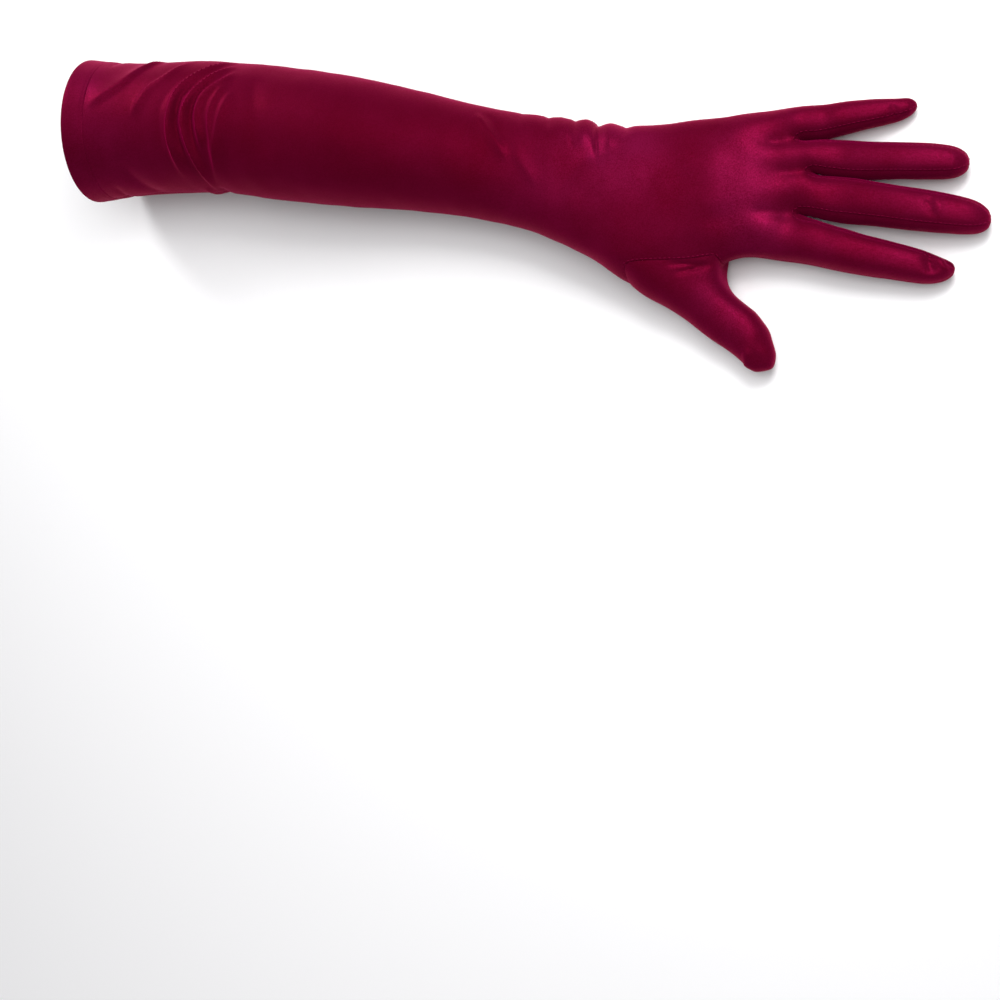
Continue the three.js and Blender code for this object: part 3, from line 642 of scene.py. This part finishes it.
# %% Read the cloth as arrays
def read_cloth(thing):
    count = len(thing.data.vertices)
    places, normals = np.zeros(count * 3), np.zeros(count * 3)
    thing.data.vertices.foreach_get("co", places)
    thing.data.vertices.foreach_get("normal", normals)
    return places.reshape(-1, 3), normals.reshape(-1, 3)


places, normals = read_cloth(glove)
centre_y, centre_z, half, rise, _ = section(np.clip(places[:, 0], 0, section_x[-1]))
turn = np.degrees(np.arctan2((places[:, 2] - centre_z) / rise, (places[:, 1] - centre_y) / half))
turn = np.where(turn < -100, turn + 360, turn)
print("round the arm:", round(float(turn.min())), "to", round(float(turn.max())), "degrees")

# %% [markdown]
# The elbow is where the cloth bunches most. Long diagonal folds leave the little-finger side near
# the hem, and then tight curved ones ring the arm, crisp towards the hem and soft behind.

# %% Elbow folds
# places along the glove and degrees round it, then height, width before and behind, in mm
ELBOW_FOLDS = [
    ([(0.172, 5), (0.152, 28), (0.119, 53), (0.087, 66), (0.047, 78)], 2.0, 5.0, 1.3),
    ([(0.252, 12), (0.209, 46), (0.178, 60), (0.162, 72), (0.144, 88)], 1.8, 1.2, 3.6),
    ([(0.335, 10), (0.312, 26), (0.272, 46), (0.244, 63), (0.231, 82), (0.227, 99), (0.23, 122),
      (0.236, 150)], 3.0, 1.3, 3.2),
    ([(0.345, 22), (0.323, 38), (0.284, 61), (0.263, 79), (0.259, 94), (0.268, 114),
      (0.282, 142), (0.286, 175)], 3.1, 1.3, 2.8),
    ([(0.352, 36), (0.334, 50), (0.30, 67), (0.288, 84), (0.291, 101),
      (0.294, 120)], 2.1, 1.2, 2.4),
    ([(0.352, 52), (0.327, 66), (0.315, 85), (0.316, 107), (0.309, 130)], 1.7, 1.2, 2.2),
    ([(0.362, 60), (0.347, 71), (0.337, 85), (0.325, 106), (0.315, 125),
      (0.297, 159)], 1.7, 1.3, 3.6),
    ([(0.29, 30), (0.24, 56), (0.212, 78), (0.208, 99), (0.212, 125)], -0.8, 4.0, 1.6),
    ([(0.30, 48), (0.258, 66), (0.245, 84), (0.246, 104), (0.262, 138)], -1.7, 1.8, 1.4),
    ([(0.322, 50), (0.292, 64), (0.277, 82), (0.277, 100), (0.285, 124)], -1.3, 1.6, 1.3),
]


def line_through(spots, steps=10):
    """Many places along a smooth line through a few."""
    spots = np.array(spots, float)
    order = np.arange(len(spots))
    fine = np.linspace(0, len(spots) - 1, steps * (len(spots) - 1) + 1)
    return np.stack([curve(order, spots[:, axis])(fine) for axis in range(spots.shape[1])], axis=1)


def from_line(flat, line):
    """Signed distance of each place from a line, and how far along the line it is, 0 to 1."""
    best = np.full(len(flat), 1e9)
    off, share = np.zeros(len(flat)), np.zeros(len(flat))
    last = len(line) - 1
    for k in range(last):
        a, b = line[k], line[k + 1]
        d = b - a
        t = np.clip((flat - a) @ d / (d @ d), 0, 1)
        gap = flat - a - t[:, None] * d
        length = np.hypot(gap[:, 0], gap[:, 1])
        side = np.sign(d[0] * gap[:, 1] - d[1] * gap[:, 0])
        nearer = length < best
        best[nearer] = length[nearer]
        off[nearer] = (length * side)[nearer]
        share[nearer] = ((k + t) / last)[nearer]
    return off, share


def fold_height(flat, line, tall, before, behind, ends=0.22):
    """A rather sharp ridge along a line, with its own width on each side. Sizes are in mm."""
    off, share = from_line(flat, line)
    width = MM * np.where(off > 0, before, behind)
    rest = smooth_step(share, 0, ends) * (1 - smooth_step(share, 1 - ends, 1))
    return MM * tall * rest * np.exp(-(np.abs(off / width) ** 1.5))


height = np.zeros(len(places))


def add_round_folds(table, chosen):
    """Adds folds that are given along the glove and by degrees round it."""
    for spots, tall, before, behind in table:
        _, _, half, rise, _ = section(along_glove(spots[len(spots) // 2][0]))
        degree = math.radians(1) * 0.5 * (half + rise)
        line = line_through([(along_glove(at), degrees * degree) for at, degrees in spots])
        flat = np.stack([places[chosen, 0], turn[chosen] * degree], axis=1)
        height[chosen] += fold_height(flat, line, tall, before, behind)


add_round_folds(ELBOW_FOLDS, np.flatnonzero(places[:, 0] < along_glove(0.5)))
print("elbow folds up to", round(height.max() / MM, 2), "mm")

# %% [markdown]
# The wrist bends, so the cloth on its little-finger side is gathered into short puckers. One long
# crease crosses the forearm, and small ripples stand behind the hem. A valley has a height below 0.

# %% Wrist puckers and sleeve creases
WRIST_CREASES = [
    ([(0.888, -30), (0.896, 10), (0.906, 46)], -0.3, 1.6, 2.0),
    ([(0.914, -40), (0.922, 8), (0.935, 50)], 0.4, 4.6, 4.6),
    ([(0.938, -30), (0.946, 10), (0.962, 50)], -0.7, 1.4, 1.8),
    ([(0.962, -30), (0.972, 12), (0.99, 56)], 0.8, 5.0, 4.4),
    ([(0.987, -30), (0.998, 14), (1.016, 62)], -1.0, 1.3, 2.4),
    ([(1.012, -30), (1.026, 15), (1.046, 62)], 1.1, 4.6, 4.0),
    ([(1.042, -30), (1.056, 18), (1.082, 70)], -2.3, 1.4, 4.0),
    ([(1.074, -28), (1.09, 18), (1.108, 60)], 1.3, 5.0, 5.0),
    ([(1.118, -30), (1.127, 14), (1.138, 44)], -0.9, 1.8, 2.6),
    ([(1.15, -25), (1.158, 12), (1.17, 46)], 0.6, 6.0, 6.0),
    ([(0.836, 28), (0.862, 48), (0.886, 64), (0.91, 80)], -0.9, 1.2, 3.6),
    ([(0.82, 32), (0.846, 51), (0.868, 65), (0.90, 85)], 1.4, 3.0, 1.2),
    ([(0.87, 58), (0.915, 80), (0.95, 104)], 0.8, 2.6, 5.0),
    ([(0.391, 40), (0.41, 82), (0.434, 120)], -0.9, 6.0, 6.0),
    ([(0.409, -70), (0.395, -35), (0.373, 8)], -1.0, 5.0, 5.0),
    ([(0.101, 120), (0.128, 152), (0.156, 185)], -1.3, 5.0, 5.0),
    ([(0.074, -40), (0.072, -5), (0.069, 32)], -0.9, 2.2, 2.2),
    ([(0.076, 150), (0.074, 180), (0.077, 215)], -0.9, 2.2, 2.2),
    ([(0.30, 158), (0.29, 185), (0.292, 220)], -1.4, 2.2, 2.6),
    ([(0.268, 160), (0.262, 185), (0.266, 220)], 1.0, 2.6, 2.6),
]
add_round_folds(WRIST_CREASES, np.flatnonzero(places[:, 0] < along_glove(1.25)))
print("wrist and sleeve:", len(WRIST_CREASES), "creases")

# %% [markdown]
# On the back of the hand the cloth shows the knuckles, the dips between them, and tight creases
# where the thumb's web pulls. Each fingertip has a crease or two. These are given in plan, and act
# only on cloth that faces up.

# %% Hand and finger relief
KNUCKLE_SHARE = 0.75
# along the glove, share of the hand's breadth, height and spread in mm
KNUCKLES = [
    (1.43, 0.36, 1.1, 9.0), (1.455, 0.15, 1.2, 8.5), (1.462, -0.07, 1.3, 9.0),
    (1.478, -0.31, 1.8, 8.0), (1.498, 0.27, -0.9, 5.5), (1.515, 0.06, -1.0, 6.0),
    (1.545, -0.205, -1.8, 7.0), (1.385, -0.225, -1.2, 8.0), (1.30, -0.36, -1.0, 11.0),
    (1.64, -0.455, 0.7, 6.0), (1.70, -0.17, 0.6, 6.5), (1.69, 0.15, 0.5, 6.5),
    (1.64, 0.45, 0.9, 5.0), (1.36, -0.96, 0.8, 7.0), (1.448, -1.19, -1.2, 4.5),
    (1.785, 0.46, -0.6, 4.0),
]
PLAN_CREASES = [
    ([(1.362, -0.26), (1.362, -0.08), (1.358, 0.08), (1.35, 0.34)], 1.1, 16.0, 7.5),
    ([(0.955, -0.20), (1.00, 0.05), (1.05, 0.22), (1.18, 0.37)], -1.0, 11.0, 4.5),
    ([(1.24, -0.52), (1.296, -0.537), (1.36, -0.549)], -1.5, 1.0, 1.8),
    ([(1.264, -0.60), (1.289, -0.572), (1.34, -0.552)], -1.3, 1.0, 1.4),
    ([(1.25, -0.56), (1.286, -0.553), (1.33, -0.548)], 0.6, 0.9, 0.9),
    ([(1.44, -0.185), (1.50, -0.20), (1.545, -0.205)], -1.2, 2.6, 2.6),
    ([(1.50, 0.08), (1.535, 0.076), (1.565, 0.08)], -0.8, 2.0, 2.0),
    ([(1.48, 0.30), (1.505, 0.292), (1.53, 0.29)], -0.8, 1.8, 1.8),
    ([(1.768, 0.40), (1.776, 0.46), (1.768, 0.54)], -1.1, 1.8, 0.8),
    ([(1.795, 0.42), (1.806, 0.47), (1.80, 0.54)], 0.5, 1.8, 1.0),
    ([(1.902, 0.015), (1.916, 0.10), (1.90, 0.18)], 0.5, 1.0, 2.0),
    ([(1.874, -0.29), (1.868, -0.20), (1.86, -0.11)], -1.5, 1.6, 0.8),
    ([(1.89, -0.29), (1.883, -0.205), (1.876, -0.12)], 0.8, 1.2, 1.6),
    ([(1.868, -0.665), (1.862, -0.58), (1.854, -0.49)], -2.2, 2.8, 1.6),
    ([(1.91, -0.655), (1.893, -0.605), (1.878, -0.555), (1.864, -0.495)], 1.4, 1.1, 1.8),
    ([(1.922, -0.61), (1.906, -0.586), (1.89, -0.56)], -0.8, 0.8, 0.8),
    ([(1.412, -1.265), (1.418, -1.19), (1.426, -1.11)], 1.1, 1.2, 3.0),
]
facing_up = smooth_step(normals[:, 2], 0.05, 0.45)
plan = places[:, :2]


def bell(at, side, width):
    """1 at a place of the hand, seen in plan, and falling to 0 round it. The width is in mm."""
    off = np.hypot(places[:, 0] - along_glove(at), places[:, 1] - hand_side(side))
    return np.exp(-((off / (MM * width)) ** 2))


for at, side, tall, width in KNUCKLES:
    height += MM * KNUCKLE_SHARE * tall * facing_up * bell(at, side, width)
chosen = np.flatnonzero((places[:, 0] > along_glove(0.9)) & (facing_up > 0))
for spots, tall, before, behind in PLAN_CREASES:
    line = line_through([(along_glove(at), hand_side(side)) for at, side in spots])
    crease = fold_height(plan[chosen], line, tall, before, behind, ends=0.3)
    height[chosen] += facing_up[chosen] * crease
print("hand:", len(KNUCKLES), "swells and dips,", len(PLAN_CREASES), "creases")

# %% [markdown]
# Some of the outline is moved sideways instead. The end of the thumb is flattened on the side that
# faces the fingers, its base is fuller, its web lies a little nearer the wrist, and the tip of the
# index finger is blunter. Points near the middle of a nudge go with it, less with distance.

# %% Nudge the thumb and the index fingertip
# along the glove, share of the breadth, then how far along and across, and how wide, in mm
NUDGES = [
    (1.466, -1.09, -2.7, -0.5, 6.0), (1.474, -1.245, 0.9, -1.0, 3.6),
    (1.425, -1.27, -0.3, -1.1, 5.0), (1.32, -1.02, -0.4, -1.2, 11.0),
    (1.43, -0.88, 0.5, 0.4, 5.0), (1.922, -0.63, -1.7, 0.0, 6.0),
    (1.085, -0.58, -0.7, -1.7, 12.0), (1.385, -0.65, -3.0, 0.3, 11.0),
    (1.16, -0.715, -0.8, -1.9, 12.0),
]
for at, side, ahead, across, width in NUDGES:
    places[:, :2] += MM * bell(at, side, width)[:, None] * (ahead, across)
print("nudges:", len(NUDGES))

# %% [markdown]
# Between the folds, cloth that is worn is never perfectly even. A slow, shallow noise breaks up the
# shine. It depends only on the place, so every run gives the same cloth.

# %% Slack in the cloth
SLACK = 0.00045
slack = [
    blender_noise.noise(Vector(place) * 34) + 0.5 * blender_noise.noise(Vector(place) * 90)
    for place in places
]
height += SLACK * np.array(slack)
print("slack: within", round(SLACK * np.abs(slack).max() / MM, 2), "mm")

# %% [markdown]
# Sewn cloth dips a little along a seam, where the thread pulls both edges down. The seams are the
# edges between faces of two pieces. They're kept, in order, for the stitches.

# %% Seams
SEAM_DIP = 0.00035
SEAM_SPREAD = 0.0011


def seam_edges(thing):
    """Pairs of pieces, and for each the edges of the seam between them."""
    seams = {}
    owner = {}
    for face in thing.data.polygons:
        for key in face.edge_keys:
            if key in owner and owner[key] != face.material_index:
                pair = tuple(sorted((owner[key], face.material_index)))
                seams.setdefault(pair, []).append(key)
            owner[key] = face.material_index
    return seams


def seam_chains(edges):
    """Edges put in order as open or closed chains of points."""
    beside = {}
    for a, b in edges:
        beside.setdefault(a, []).append(b)
        beside.setdefault(b, []).append(a)
    left = set(beside)
    chains = []
    for start in sorted(beside, key=lambda point: (len(beside[point]), point)):
        chain, ahead = [], [start] if start in left else []
        while ahead:
            chain.append(ahead[0])
            left.discard(ahead[0])
            ahead = [point for point in beside[chain[-1]] if point in left]
        if len(chain) > 2:
            chains.append(chain)
    return chains


seams = seam_edges(glove)
seam_points = sorted({point for edges in seams.values() for edge in edges for point in edge})
tree = place_tree(places[seam_points], seam_points)
gap = np.array([tree.find(place)[2] for place in places])
height -= SEAM_DIP * np.exp(-((gap / SEAM_SPREAD) ** 2))
chains = {pair: seam_chains(edges) for pair, edges in seams.items()}
print("seams:", {pair: [len(chain) for chain in found] for pair, found in chains.items()})

# %% [markdown]
# All the heights are added up by now, and one move along the normals makes every fold at once. The
# underside stays flat, because it lies on the table.

# %% Move the cloth
TABLE_Z = BED_Z - 0.0004
places += normals * height[:, None]
places[:, 2] = np.maximum(places[:, 2], TABLE_Z)
glove.data.vertices.foreach_set("co", places.ravel())
glove.data.update()
print("cloth moved by", np.round([height.min() / MM, height.max() / MM], 2), "mm")

# %% [markdown]
# The thumb and the fourchettes are topstitched. One stitch is modelled from a small sphere, drawn
# out and laid flat, and copied along each seam. Its ends sink into the cloth, as real ones do.

# %% Stitches
STITCH_LENGTH = 0.0017
STITCH_PITCH = 0.0024
STITCH_THICK = 0.00034
STITCH_INSET = 0.0009
STITCH_LIFT = 0.00012
STITCH_REACH = 0.0004

bpy.ops.mesh.primitive_uv_sphere_add(segments=6, ring_count=5, radius=0.5)
stitch = bpy.context.active_object
bpy.ops.object.mode_set(mode="EDIT")
bpy.ops.mesh.select_all(action="SELECT")
bpy.ops.transform.rotate(value=math.pi / 2, orient_axis="Y", center_override=(0, 0, 0))
stitch_size = (STITCH_LENGTH, STITCH_THICK, 0.8 * STITCH_THICK)
bpy.ops.transform.resize(value=stitch_size, center_override=(0, 0, 0))
bpy.ops.object.mode_set(mode="OBJECT")


def stitch_along(chain, inward):
    """Copies of the stitch along a chain of points, set in from the seam."""
    line, out, aside = places[chain], outward[chain], inward[chain]
    steps = np.linalg.norm(np.diff(line, axis=0), axis=1)
    run = np.concatenate([[0], np.cumsum(steps)])

    def read(rows, at):
        return Vector([np.interp(at, run, rows[:, axis]) for axis in range(3)])

    copies = []
    for at in np.arange(0.5 * STITCH_PITCH, run[-1], STITCH_PITCH):
        forward = (read(line, at + STITCH_REACH) - read(line, at - STITCH_REACH)).normalized()
        across = read(out, at).cross(forward).normalized()
        up = forward.cross(across)
        turned = Matrix((forward, across, up)).transposed().to_4x4()
        turned.translation = read(line, at) + STITCH_INSET * read(aside, at) + STITCH_LIFT * up
        thread = stitch.copy()
        thread.data = stitch.data.copy()
        thread.data.transform(turned)
        scene.collection.objects.link(thread)
        copies.append(thread)
    return copies


print("stitch:", len(stitch.data.polygons), "faces")

# %% [markdown]
# A stitch is set in from the seam, so each point of a seam needs to know which way its own panel
# lies: towards the middles of the faces beside it.

# %% Stitch the seams
places, outward = read_cloth(glove)
toward = {BACK: np.zeros_like(places), PALM: np.zeros_like(places)}
for face in glove.data.polygons:
    if face.material_index in toward:
        middle = np.mean([places[point] for point in face.vertices], axis=0)
        for point in face.vertices:
            toward[face.material_index][point] += middle - places[point]
for rows in toward.values():
    length = np.linalg.norm(rows, axis=1, keepdims=True)
    rows /= np.maximum(length, 1e-9)

threads = []
for pair, found in chains.items():
    if pair == (BACK, PALM) or pair[0] not in toward:
        continue
    for chain in found:
        threads += stitch_along(chain, toward[pair[0]])
bpy.data.objects.remove(stitch)
pick(*threads)
bpy.ops.object.join()
stitching = bpy.context.view_layer.objects.active
stitching.name = "seam_stitches"
for face in stitching.data.polygons:
    face.use_smooth = True
print("stitches:", len(threads), "with", len(stitching.data.polygons), "faces")

# %% [markdown]
# The cloth is now parted along its seams. Every face carries the number of its piece, so edit mode
# can separate them by material.

# %% Part the cloth at its seams
PIECE_NAMES = [
    "back_cloth", "palm_cloth", "little_ring_strip", "ring_middle_strip", "middle_index_strip",
    "thumb_cloth",
]
for index, name in enumerate(PIECE_NAMES):
    glove.data.materials[index] = bpy.data.materials.new(name)
pick(glove)
bpy.ops.object.mode_set(mode="EDIT")
bpy.ops.mesh.select_all(action="SELECT")
bpy.ops.mesh.separate(type="MATERIAL")
bpy.ops.object.mode_set(mode="OBJECT")
pieces = {}
for thing in bpy.context.selected_objects:
    pieces[thing.data.materials[0].name] = thing
print("pieces:", sorted(pieces))

# %% [markdown]
# Each piece draws its edges back by a tenth of a millimetre, so that neighbours meet at a fine
# line. A Solidify modifier then gives the cloth its thickness inwards.

# %% Edges and thickness
EDGE_BACK = 0.0001


def draw_edges_back(thing):
    """Moves the open edges of a piece a little way into it, along its own faces."""
    mesh = bmesh.new()
    mesh.from_mesh(thing.data)
    moves = {}
    for point in mesh.verts:
        if point.is_boundary:
            inside = [e.other_vert(point).co for e in point.link_edges if not e.is_boundary]
            inside = inside or [face.calc_center_median() for face in point.link_faces]
            aim = sum((place - point.co for place in inside), Vector())
            moves[point] = EDGE_BACK * aim.normalized()
    for point, move in moves.items():
        point.co += move
    mesh.to_mesh(thing.data)
    mesh.free()


for name, thing in pieces.items():
    thing.name = name
    thing.data.name = name
    draw_edges_back(thing)
    apply_modifier(thing, "SOLIDIFY", thickness=CLOTH_WALL, offset=-1)
    bpy.ops.object.shade_smooth_by_angle(angle=math.radians(55))
    print(name, len(thing.data.polygons), "faces")

# %% [markdown]
# The hem is a band of cloth turned up and stitched, a little thicker than the sleeve. Its profile
# is one closed line, carried round the opening by extrusions. Its inner end runs on under the
# sleeve, so that no gap shows between them.

# %% Hem band
HEM_RING = 84
# distance from the opening and height over the sleeve, in mm
HEM_PROFILE = [
    (0, -0.9), (0.2, -0.1), (0.9, 0.2), (4.0, 0.3), (8.5, 0.3), (10.5, 0.3), (11.3, 0.1),
    (12.1, 0.1), (13.1, 0), (13.1, -1.0), (13.8, -1.3), (16.8, -1.3), (17.2, -1.7), (16.8, -2.1),
    (12.0, -2.1), (4.0, -2.0), (1.1, -2.0), (0.3, -1.8),
]
hem_turns = np.arange(HEM_RING) * 2 * math.pi / HEM_RING


def hem_ring(x, out):
    y, z, half, rise, full = section(x)
    across, up = squircle(half, rise, full, hem_turns)
    slope = np.stack([across / half**2, up / rise**2])
    slope *= out / np.linalg.norm(slope, axis=0)
    return np.stack([np.full(HEM_RING, x), y + across + slope[0], z + up + slope[1]], axis=1)


hem_rings = [hem_ring(MM * x, MM * out) for x, out in HEM_PROFILE]
hem = draw_tube("hem_cloth", hem_rings, 0, lambda k: 0)
mesh = bmesh.from_edit_mesh(hem.data)
bpy.ops.mesh.select_all(action="DESELECT")
for edge_line in mesh.edges:
    edge_line.select_set(edge_line.is_boundary)
bpy.ops.mesh.bridge_edge_loops()
bpy.ops.mesh.select_all(action="SELECT")
bpy.ops.mesh.normals_make_consistent(inside=False)
bpy.ops.object.mode_set(mode="OBJECT")
apply_modifier(hem, "SUBSURF", levels=1)
bpy.ops.object.shade_smooth_by_angle(angle=math.radians(60))
print("hem band:", len(hem.data.polygons), "faces")

# %% [markdown]
# Satin is woven so that long threads float on its face. It shines broadly, in the thread's own
# colour, and close up the shine breaks into fine grains. One node group makes these grains and the
# slow patches of lighter cloth.

# %% Satin grain, a node group
grain = bpy.data.node_groups.new("satin_grain", "ShaderNodeTree")
grain.interface.new_socket("Place", in_out="INPUT", socket_type="NodeSocketVector")
for title in ("Tight And Painted Light", "Grain Share", "Patch Share"):
    grain.interface.new_socket(title, in_out="INPUT", socket_type="NodeSocketFloat")
for title in ("Light", "Roughness", "Height"):
    grain.interface.new_socket(title, in_out="OUTPUT", socket_type="NodeSocketFloat")
given = grain.nodes.new("NodeGroupInput").outputs
made = grain.nodes.new("NodeGroupOutput").inputs


def noise(scale, detail, rough=0.5):
    node = grain.nodes.new("ShaderNodeTexNoise")
    fill(node, {"Scale": scale, "Detail": detail, "Roughness": rough})
    grain.links.new(given["Place"], node.inputs["Vector"])
    return node.outputs["Fac"]


def spread(value, low, high, out_low=0.0, out_high=1.0):
    """Stretches a range of a value to another range."""
    node = grain.nodes.new("ShaderNodeMapRange")
    fill(node, {"From Min": low, "From Max": high, "To Min": out_low, "To Max": out_high})
    grain.links.new(value, node.inputs["Value"])
    return node.outputs["Result"]


def maths(kind, one, two):
    node = grain.nodes.new("ShaderNodeMath")
    node.operation = kind
    for socket, value in zip(node.inputs, (one, two)):
        if isinstance(value, float):
            socket.default_value = value
        else:
            grain.links.new(value, socket)
    return node.outputs["Value"]


fine = spread(noise(2400, 1), 0.30, 0.70)
coarse = spread(noise(1300, 2), 0.30, 0.70)
patch = spread(noise(32, 3, 0.6), 0.35, 0.65)
grains = maths("MULTIPLY", maths("ADD", fine, coarse), 0.5)
light = maths(
    "ADD",
    maths("MULTIPLY", grains, given["Grain Share"]),
    maths("MULTIPLY", patch, given["Patch Share"]),
)
# painted light and shade: tightness lightens the base colour, slack cloth is drawn darker
painted_light_gain = spread(given["Tight And Painted Light"], 0.0, 1.0, 0.50, 1.55)
smoother = spread(given["Tight And Painted Light"], 0.0, 1.0, 1.03, 0.86)
grain.links.new(maths("MULTIPLY", light, painted_light_gain), made["Light"])
rough = maths("MULTIPLY", spread(grains, 0.0, 1.0, 0.60, 0.44), smoother)
grain.links.new(rough, made["Roughness"])
grain.links.new(grains, made["Height"])
print("group:", grain.name, "with", len(grain.nodes), "nodes")

# %% [markdown]
# The cloth and its thread share one recipe. Base colour and roughness come from the group, the
# grain also raises a faint bump, and a coloured sheen stands for the fine nap at glancing angles.

# %% Satin
def satin(name, deep, bright, grain_share, patch_share, relief):
    """A satin: deep is the cloth's colour in shade, bright the colour of its lit threads."""
    material = bpy.data.materials.new(name)
    material.use_nodes = True
    tree = material.node_tree
    link = tree.links.new
    shader = tree.nodes["Principled BSDF"]
    where = tree.nodes.new("ShaderNodeTexCoord")
    texture = tree.nodes.new("ShaderNodeGroup")
    texture.node_tree = grain
    fill(texture, {"Grain Share": grain_share, "Patch Share": patch_share})
    link(where.outputs["Object"], texture.inputs["Place"])
    # tightness, which also carries painted light and shade into the base colour
    tightness_and_painted_light_node = tree.nodes.new("ShaderNodeAttribute")
    tightness_and_painted_light_node.attribute_name = "tight_and_painted_light"
    link(tightness_and_painted_light_node.outputs["Fac"], texture.inputs["Tight And Painted Light"])
    colour = tree.nodes.new("ShaderNodeMix")
    colour.data_type = "RGBA"
    fill(colour, {"A": (*deep, 1), "B": (*bright, 1)})
    link(texture.outputs["Light"], colour.inputs["Factor"])
    link(colour.outputs["Result"], shader.inputs["Base Color"])
    link(texture.outputs["Roughness"], shader.inputs["Roughness"])
    bump = tree.nodes.new("ShaderNodeBump")
    fill(bump, {"Strength": relief, "Distance": 0.0002})
    link(texture.outputs["Height"], bump.inputs["Height"])
    link(bump.outputs["Normal"], shader.inputs["Normal"])
    fill(shader, {
        "Metallic": 0.50, "Specular IOR Level": 0.04, "Specular Tint": (1.0, 0.03, 0.38, 1),
        "Sheen Weight": 0.34, "Sheen Roughness": 0.60, "Sheen Tint": (0.80, 0.004, 0.17, 1),
    })
    return material


cloth_finish = satin(
    "satin_cloth", deep=(0.056, 0.0001, 0.0022), bright=(0.134, 0.0032, 0.0290),
    grain_share=0.66, patch_share=0.26, relief=0.16,
)
thread_finish = satin(
    "satin_thread", deep=(0.16, 0.003, 0.026), bright=(0.26, 0.010, 0.060),
    grain_share=0.40, patch_share=0.30, relief=0.20,
)
print("materials:", cloth_finish.name, thread_finish.name)

# %% [markdown]
# Cloth that is stretched tight shines more than slack cloth, as its threads lie flat. So every
# point carries a value for how tight the cloth is there, which makes it smoother and also paints
# light and shade into its colour: low along the forearm and elbow, in painted shade, and higher
# at the hem and over the wrist and highest over the knuckles, in painted light.

# %% How tight the cloth is, with painted light and shade
# how tight the cloth is along the glove, which also sets painted light and painted shade
TIGHT_AND_PAINTED_LIGHT_ALONG = [
    (0.0, 0.24), (0.14, 0.22), (0.24, 0.02), (0.40, 0.0), (0.85, 0.0), (1.0, 0.15), (1.30, 0.14),
    (1.60, 0.32), (2.0, 0.36),
]
# along the glove, share of the breadth, amount, reach along and across in mm; painted light too
TIGHT_AND_PAINTED_LIGHT_SPOTS = [
    (0.06, 1.08, 0.44, 26, 16), (0.06, 0.50, 0.20, 30, 26), (1.085, 0.36, 0.78, 24, 12),
    (1.15, 0.18, 0.52, 24, 18), (0.95, -0.02, 0.28, 36, 20), (1.425, 0.12, 0.46, 15, 24),
    (1.45, -0.30, 0.72, 16.5, 17), (1.35, -0.74, 0.46, 12, 12), (1.40, -0.93, 0.36, 10, 10),
]
tight_and_painted_light_base = curve(*zip(*TIGHT_AND_PAINTED_LIGHT_ALONG))


def add_tightness_and_painted_light(thing):
    """Writes a point attribute from 0, slack and in painted shade, to 1, tight and in painted light.
    """
    spots, _ = read_cloth(thing)
    past = spots[:, 0] - SLEEVE_LENGTH
    at = np.where(past < 0, spots[:, 0] / SLEEVE_LENGTH, 1 + past / HAND_LENGTH)
    value = tight_and_painted_light_base(np.clip(at, 0, 2))
    for spot_at, side, amount, reach_x, reach_y in TIGHT_AND_PAINTED_LIGHT_SPOTS:
        off_x = (spots[:, 0] - along_glove(spot_at)) / (MM * reach_x)
        off_y = (spots[:, 1] - hand_side(side)) / (MM * reach_y)
        value += amount * np.exp(-((off_x ** 2 + off_y ** 2) ** 1.5))
    layer = thing.data.attributes.new("tight_and_painted_light", "FLOAT", "POINT")
    layer.data.foreach_set("value", np.clip(value, 0, 1).astype(np.float32))


for thing in [*pieces.values(), hem, stitching]:
    add_tightness_and_painted_light(thing)
print("tightness on", len(pieces) + 2, "pieces")

# %% [markdown]
# The pieces now take their finish and their place in the part. Each one rides on the part's only
# body, and the imported nodes that a piece of cloth stands for are hidden.

# %% Finish and place
PANEL_PARTS = [
    "upper_sleeve", "forearm", "hand", "little_finger", "ring_finger", "middle_finger",
    "index_finger",
]
STANDS_FOR = {
    "back_cloth": ["back_" + part for part in PANEL_PARTS],
    "palm_cloth": ["palm_" + part for part in PANEL_PARTS],
    "little_ring_strip": ["fourchette_little_ring"],
    "ring_middle_strip": ["fourchette_ring_middle"],
    "middle_index_strip": ["fourchette_middle_index"],
    "thumb_cloth": ["thumb"],
    "hem_cloth": ["hem_band"],
}
for thing in [*pieces.values(), hem, stitching]:
    thing.data.materials.clear()
    thing.data.materials.append(thread_finish if thing == stitching else cloth_finish)
    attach(thing, "root")
    if thing != stitching:
        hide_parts(*STANDS_FOR[thing.name])

# %% [markdown]
# Stretch satin is cut about a tenth smaller than what it will fit. The size each piece of cloth was
# cut to is listed, and the area that it measures now shows how far it is stretched.

CUT_SIZES = {
    "back_cloth": (0.118, 0.490, 0.0400), "palm_cloth": (0.118, 0.490, 0.0392),
    "thumb_cloth": (0.075, 0.095, 0.0058), "little_ring_strip": (0.0118, 0.118, None),
    "ring_middle_strip": (0.0130, 0.140, None), "middle_index_strip": (0.0140, 0.145, None),
    "hem_cloth": (0.0163, 0.224, None),
}
for thing in [*pieces.values(), hem]:
    width, length, area = CUT_SIZES[thing.name]
    one_face = sum(face.area for face in thing.data.polygons) / 2
    print(thing.name, "stretched", round(one_face / (area or width * length), 2), "times")
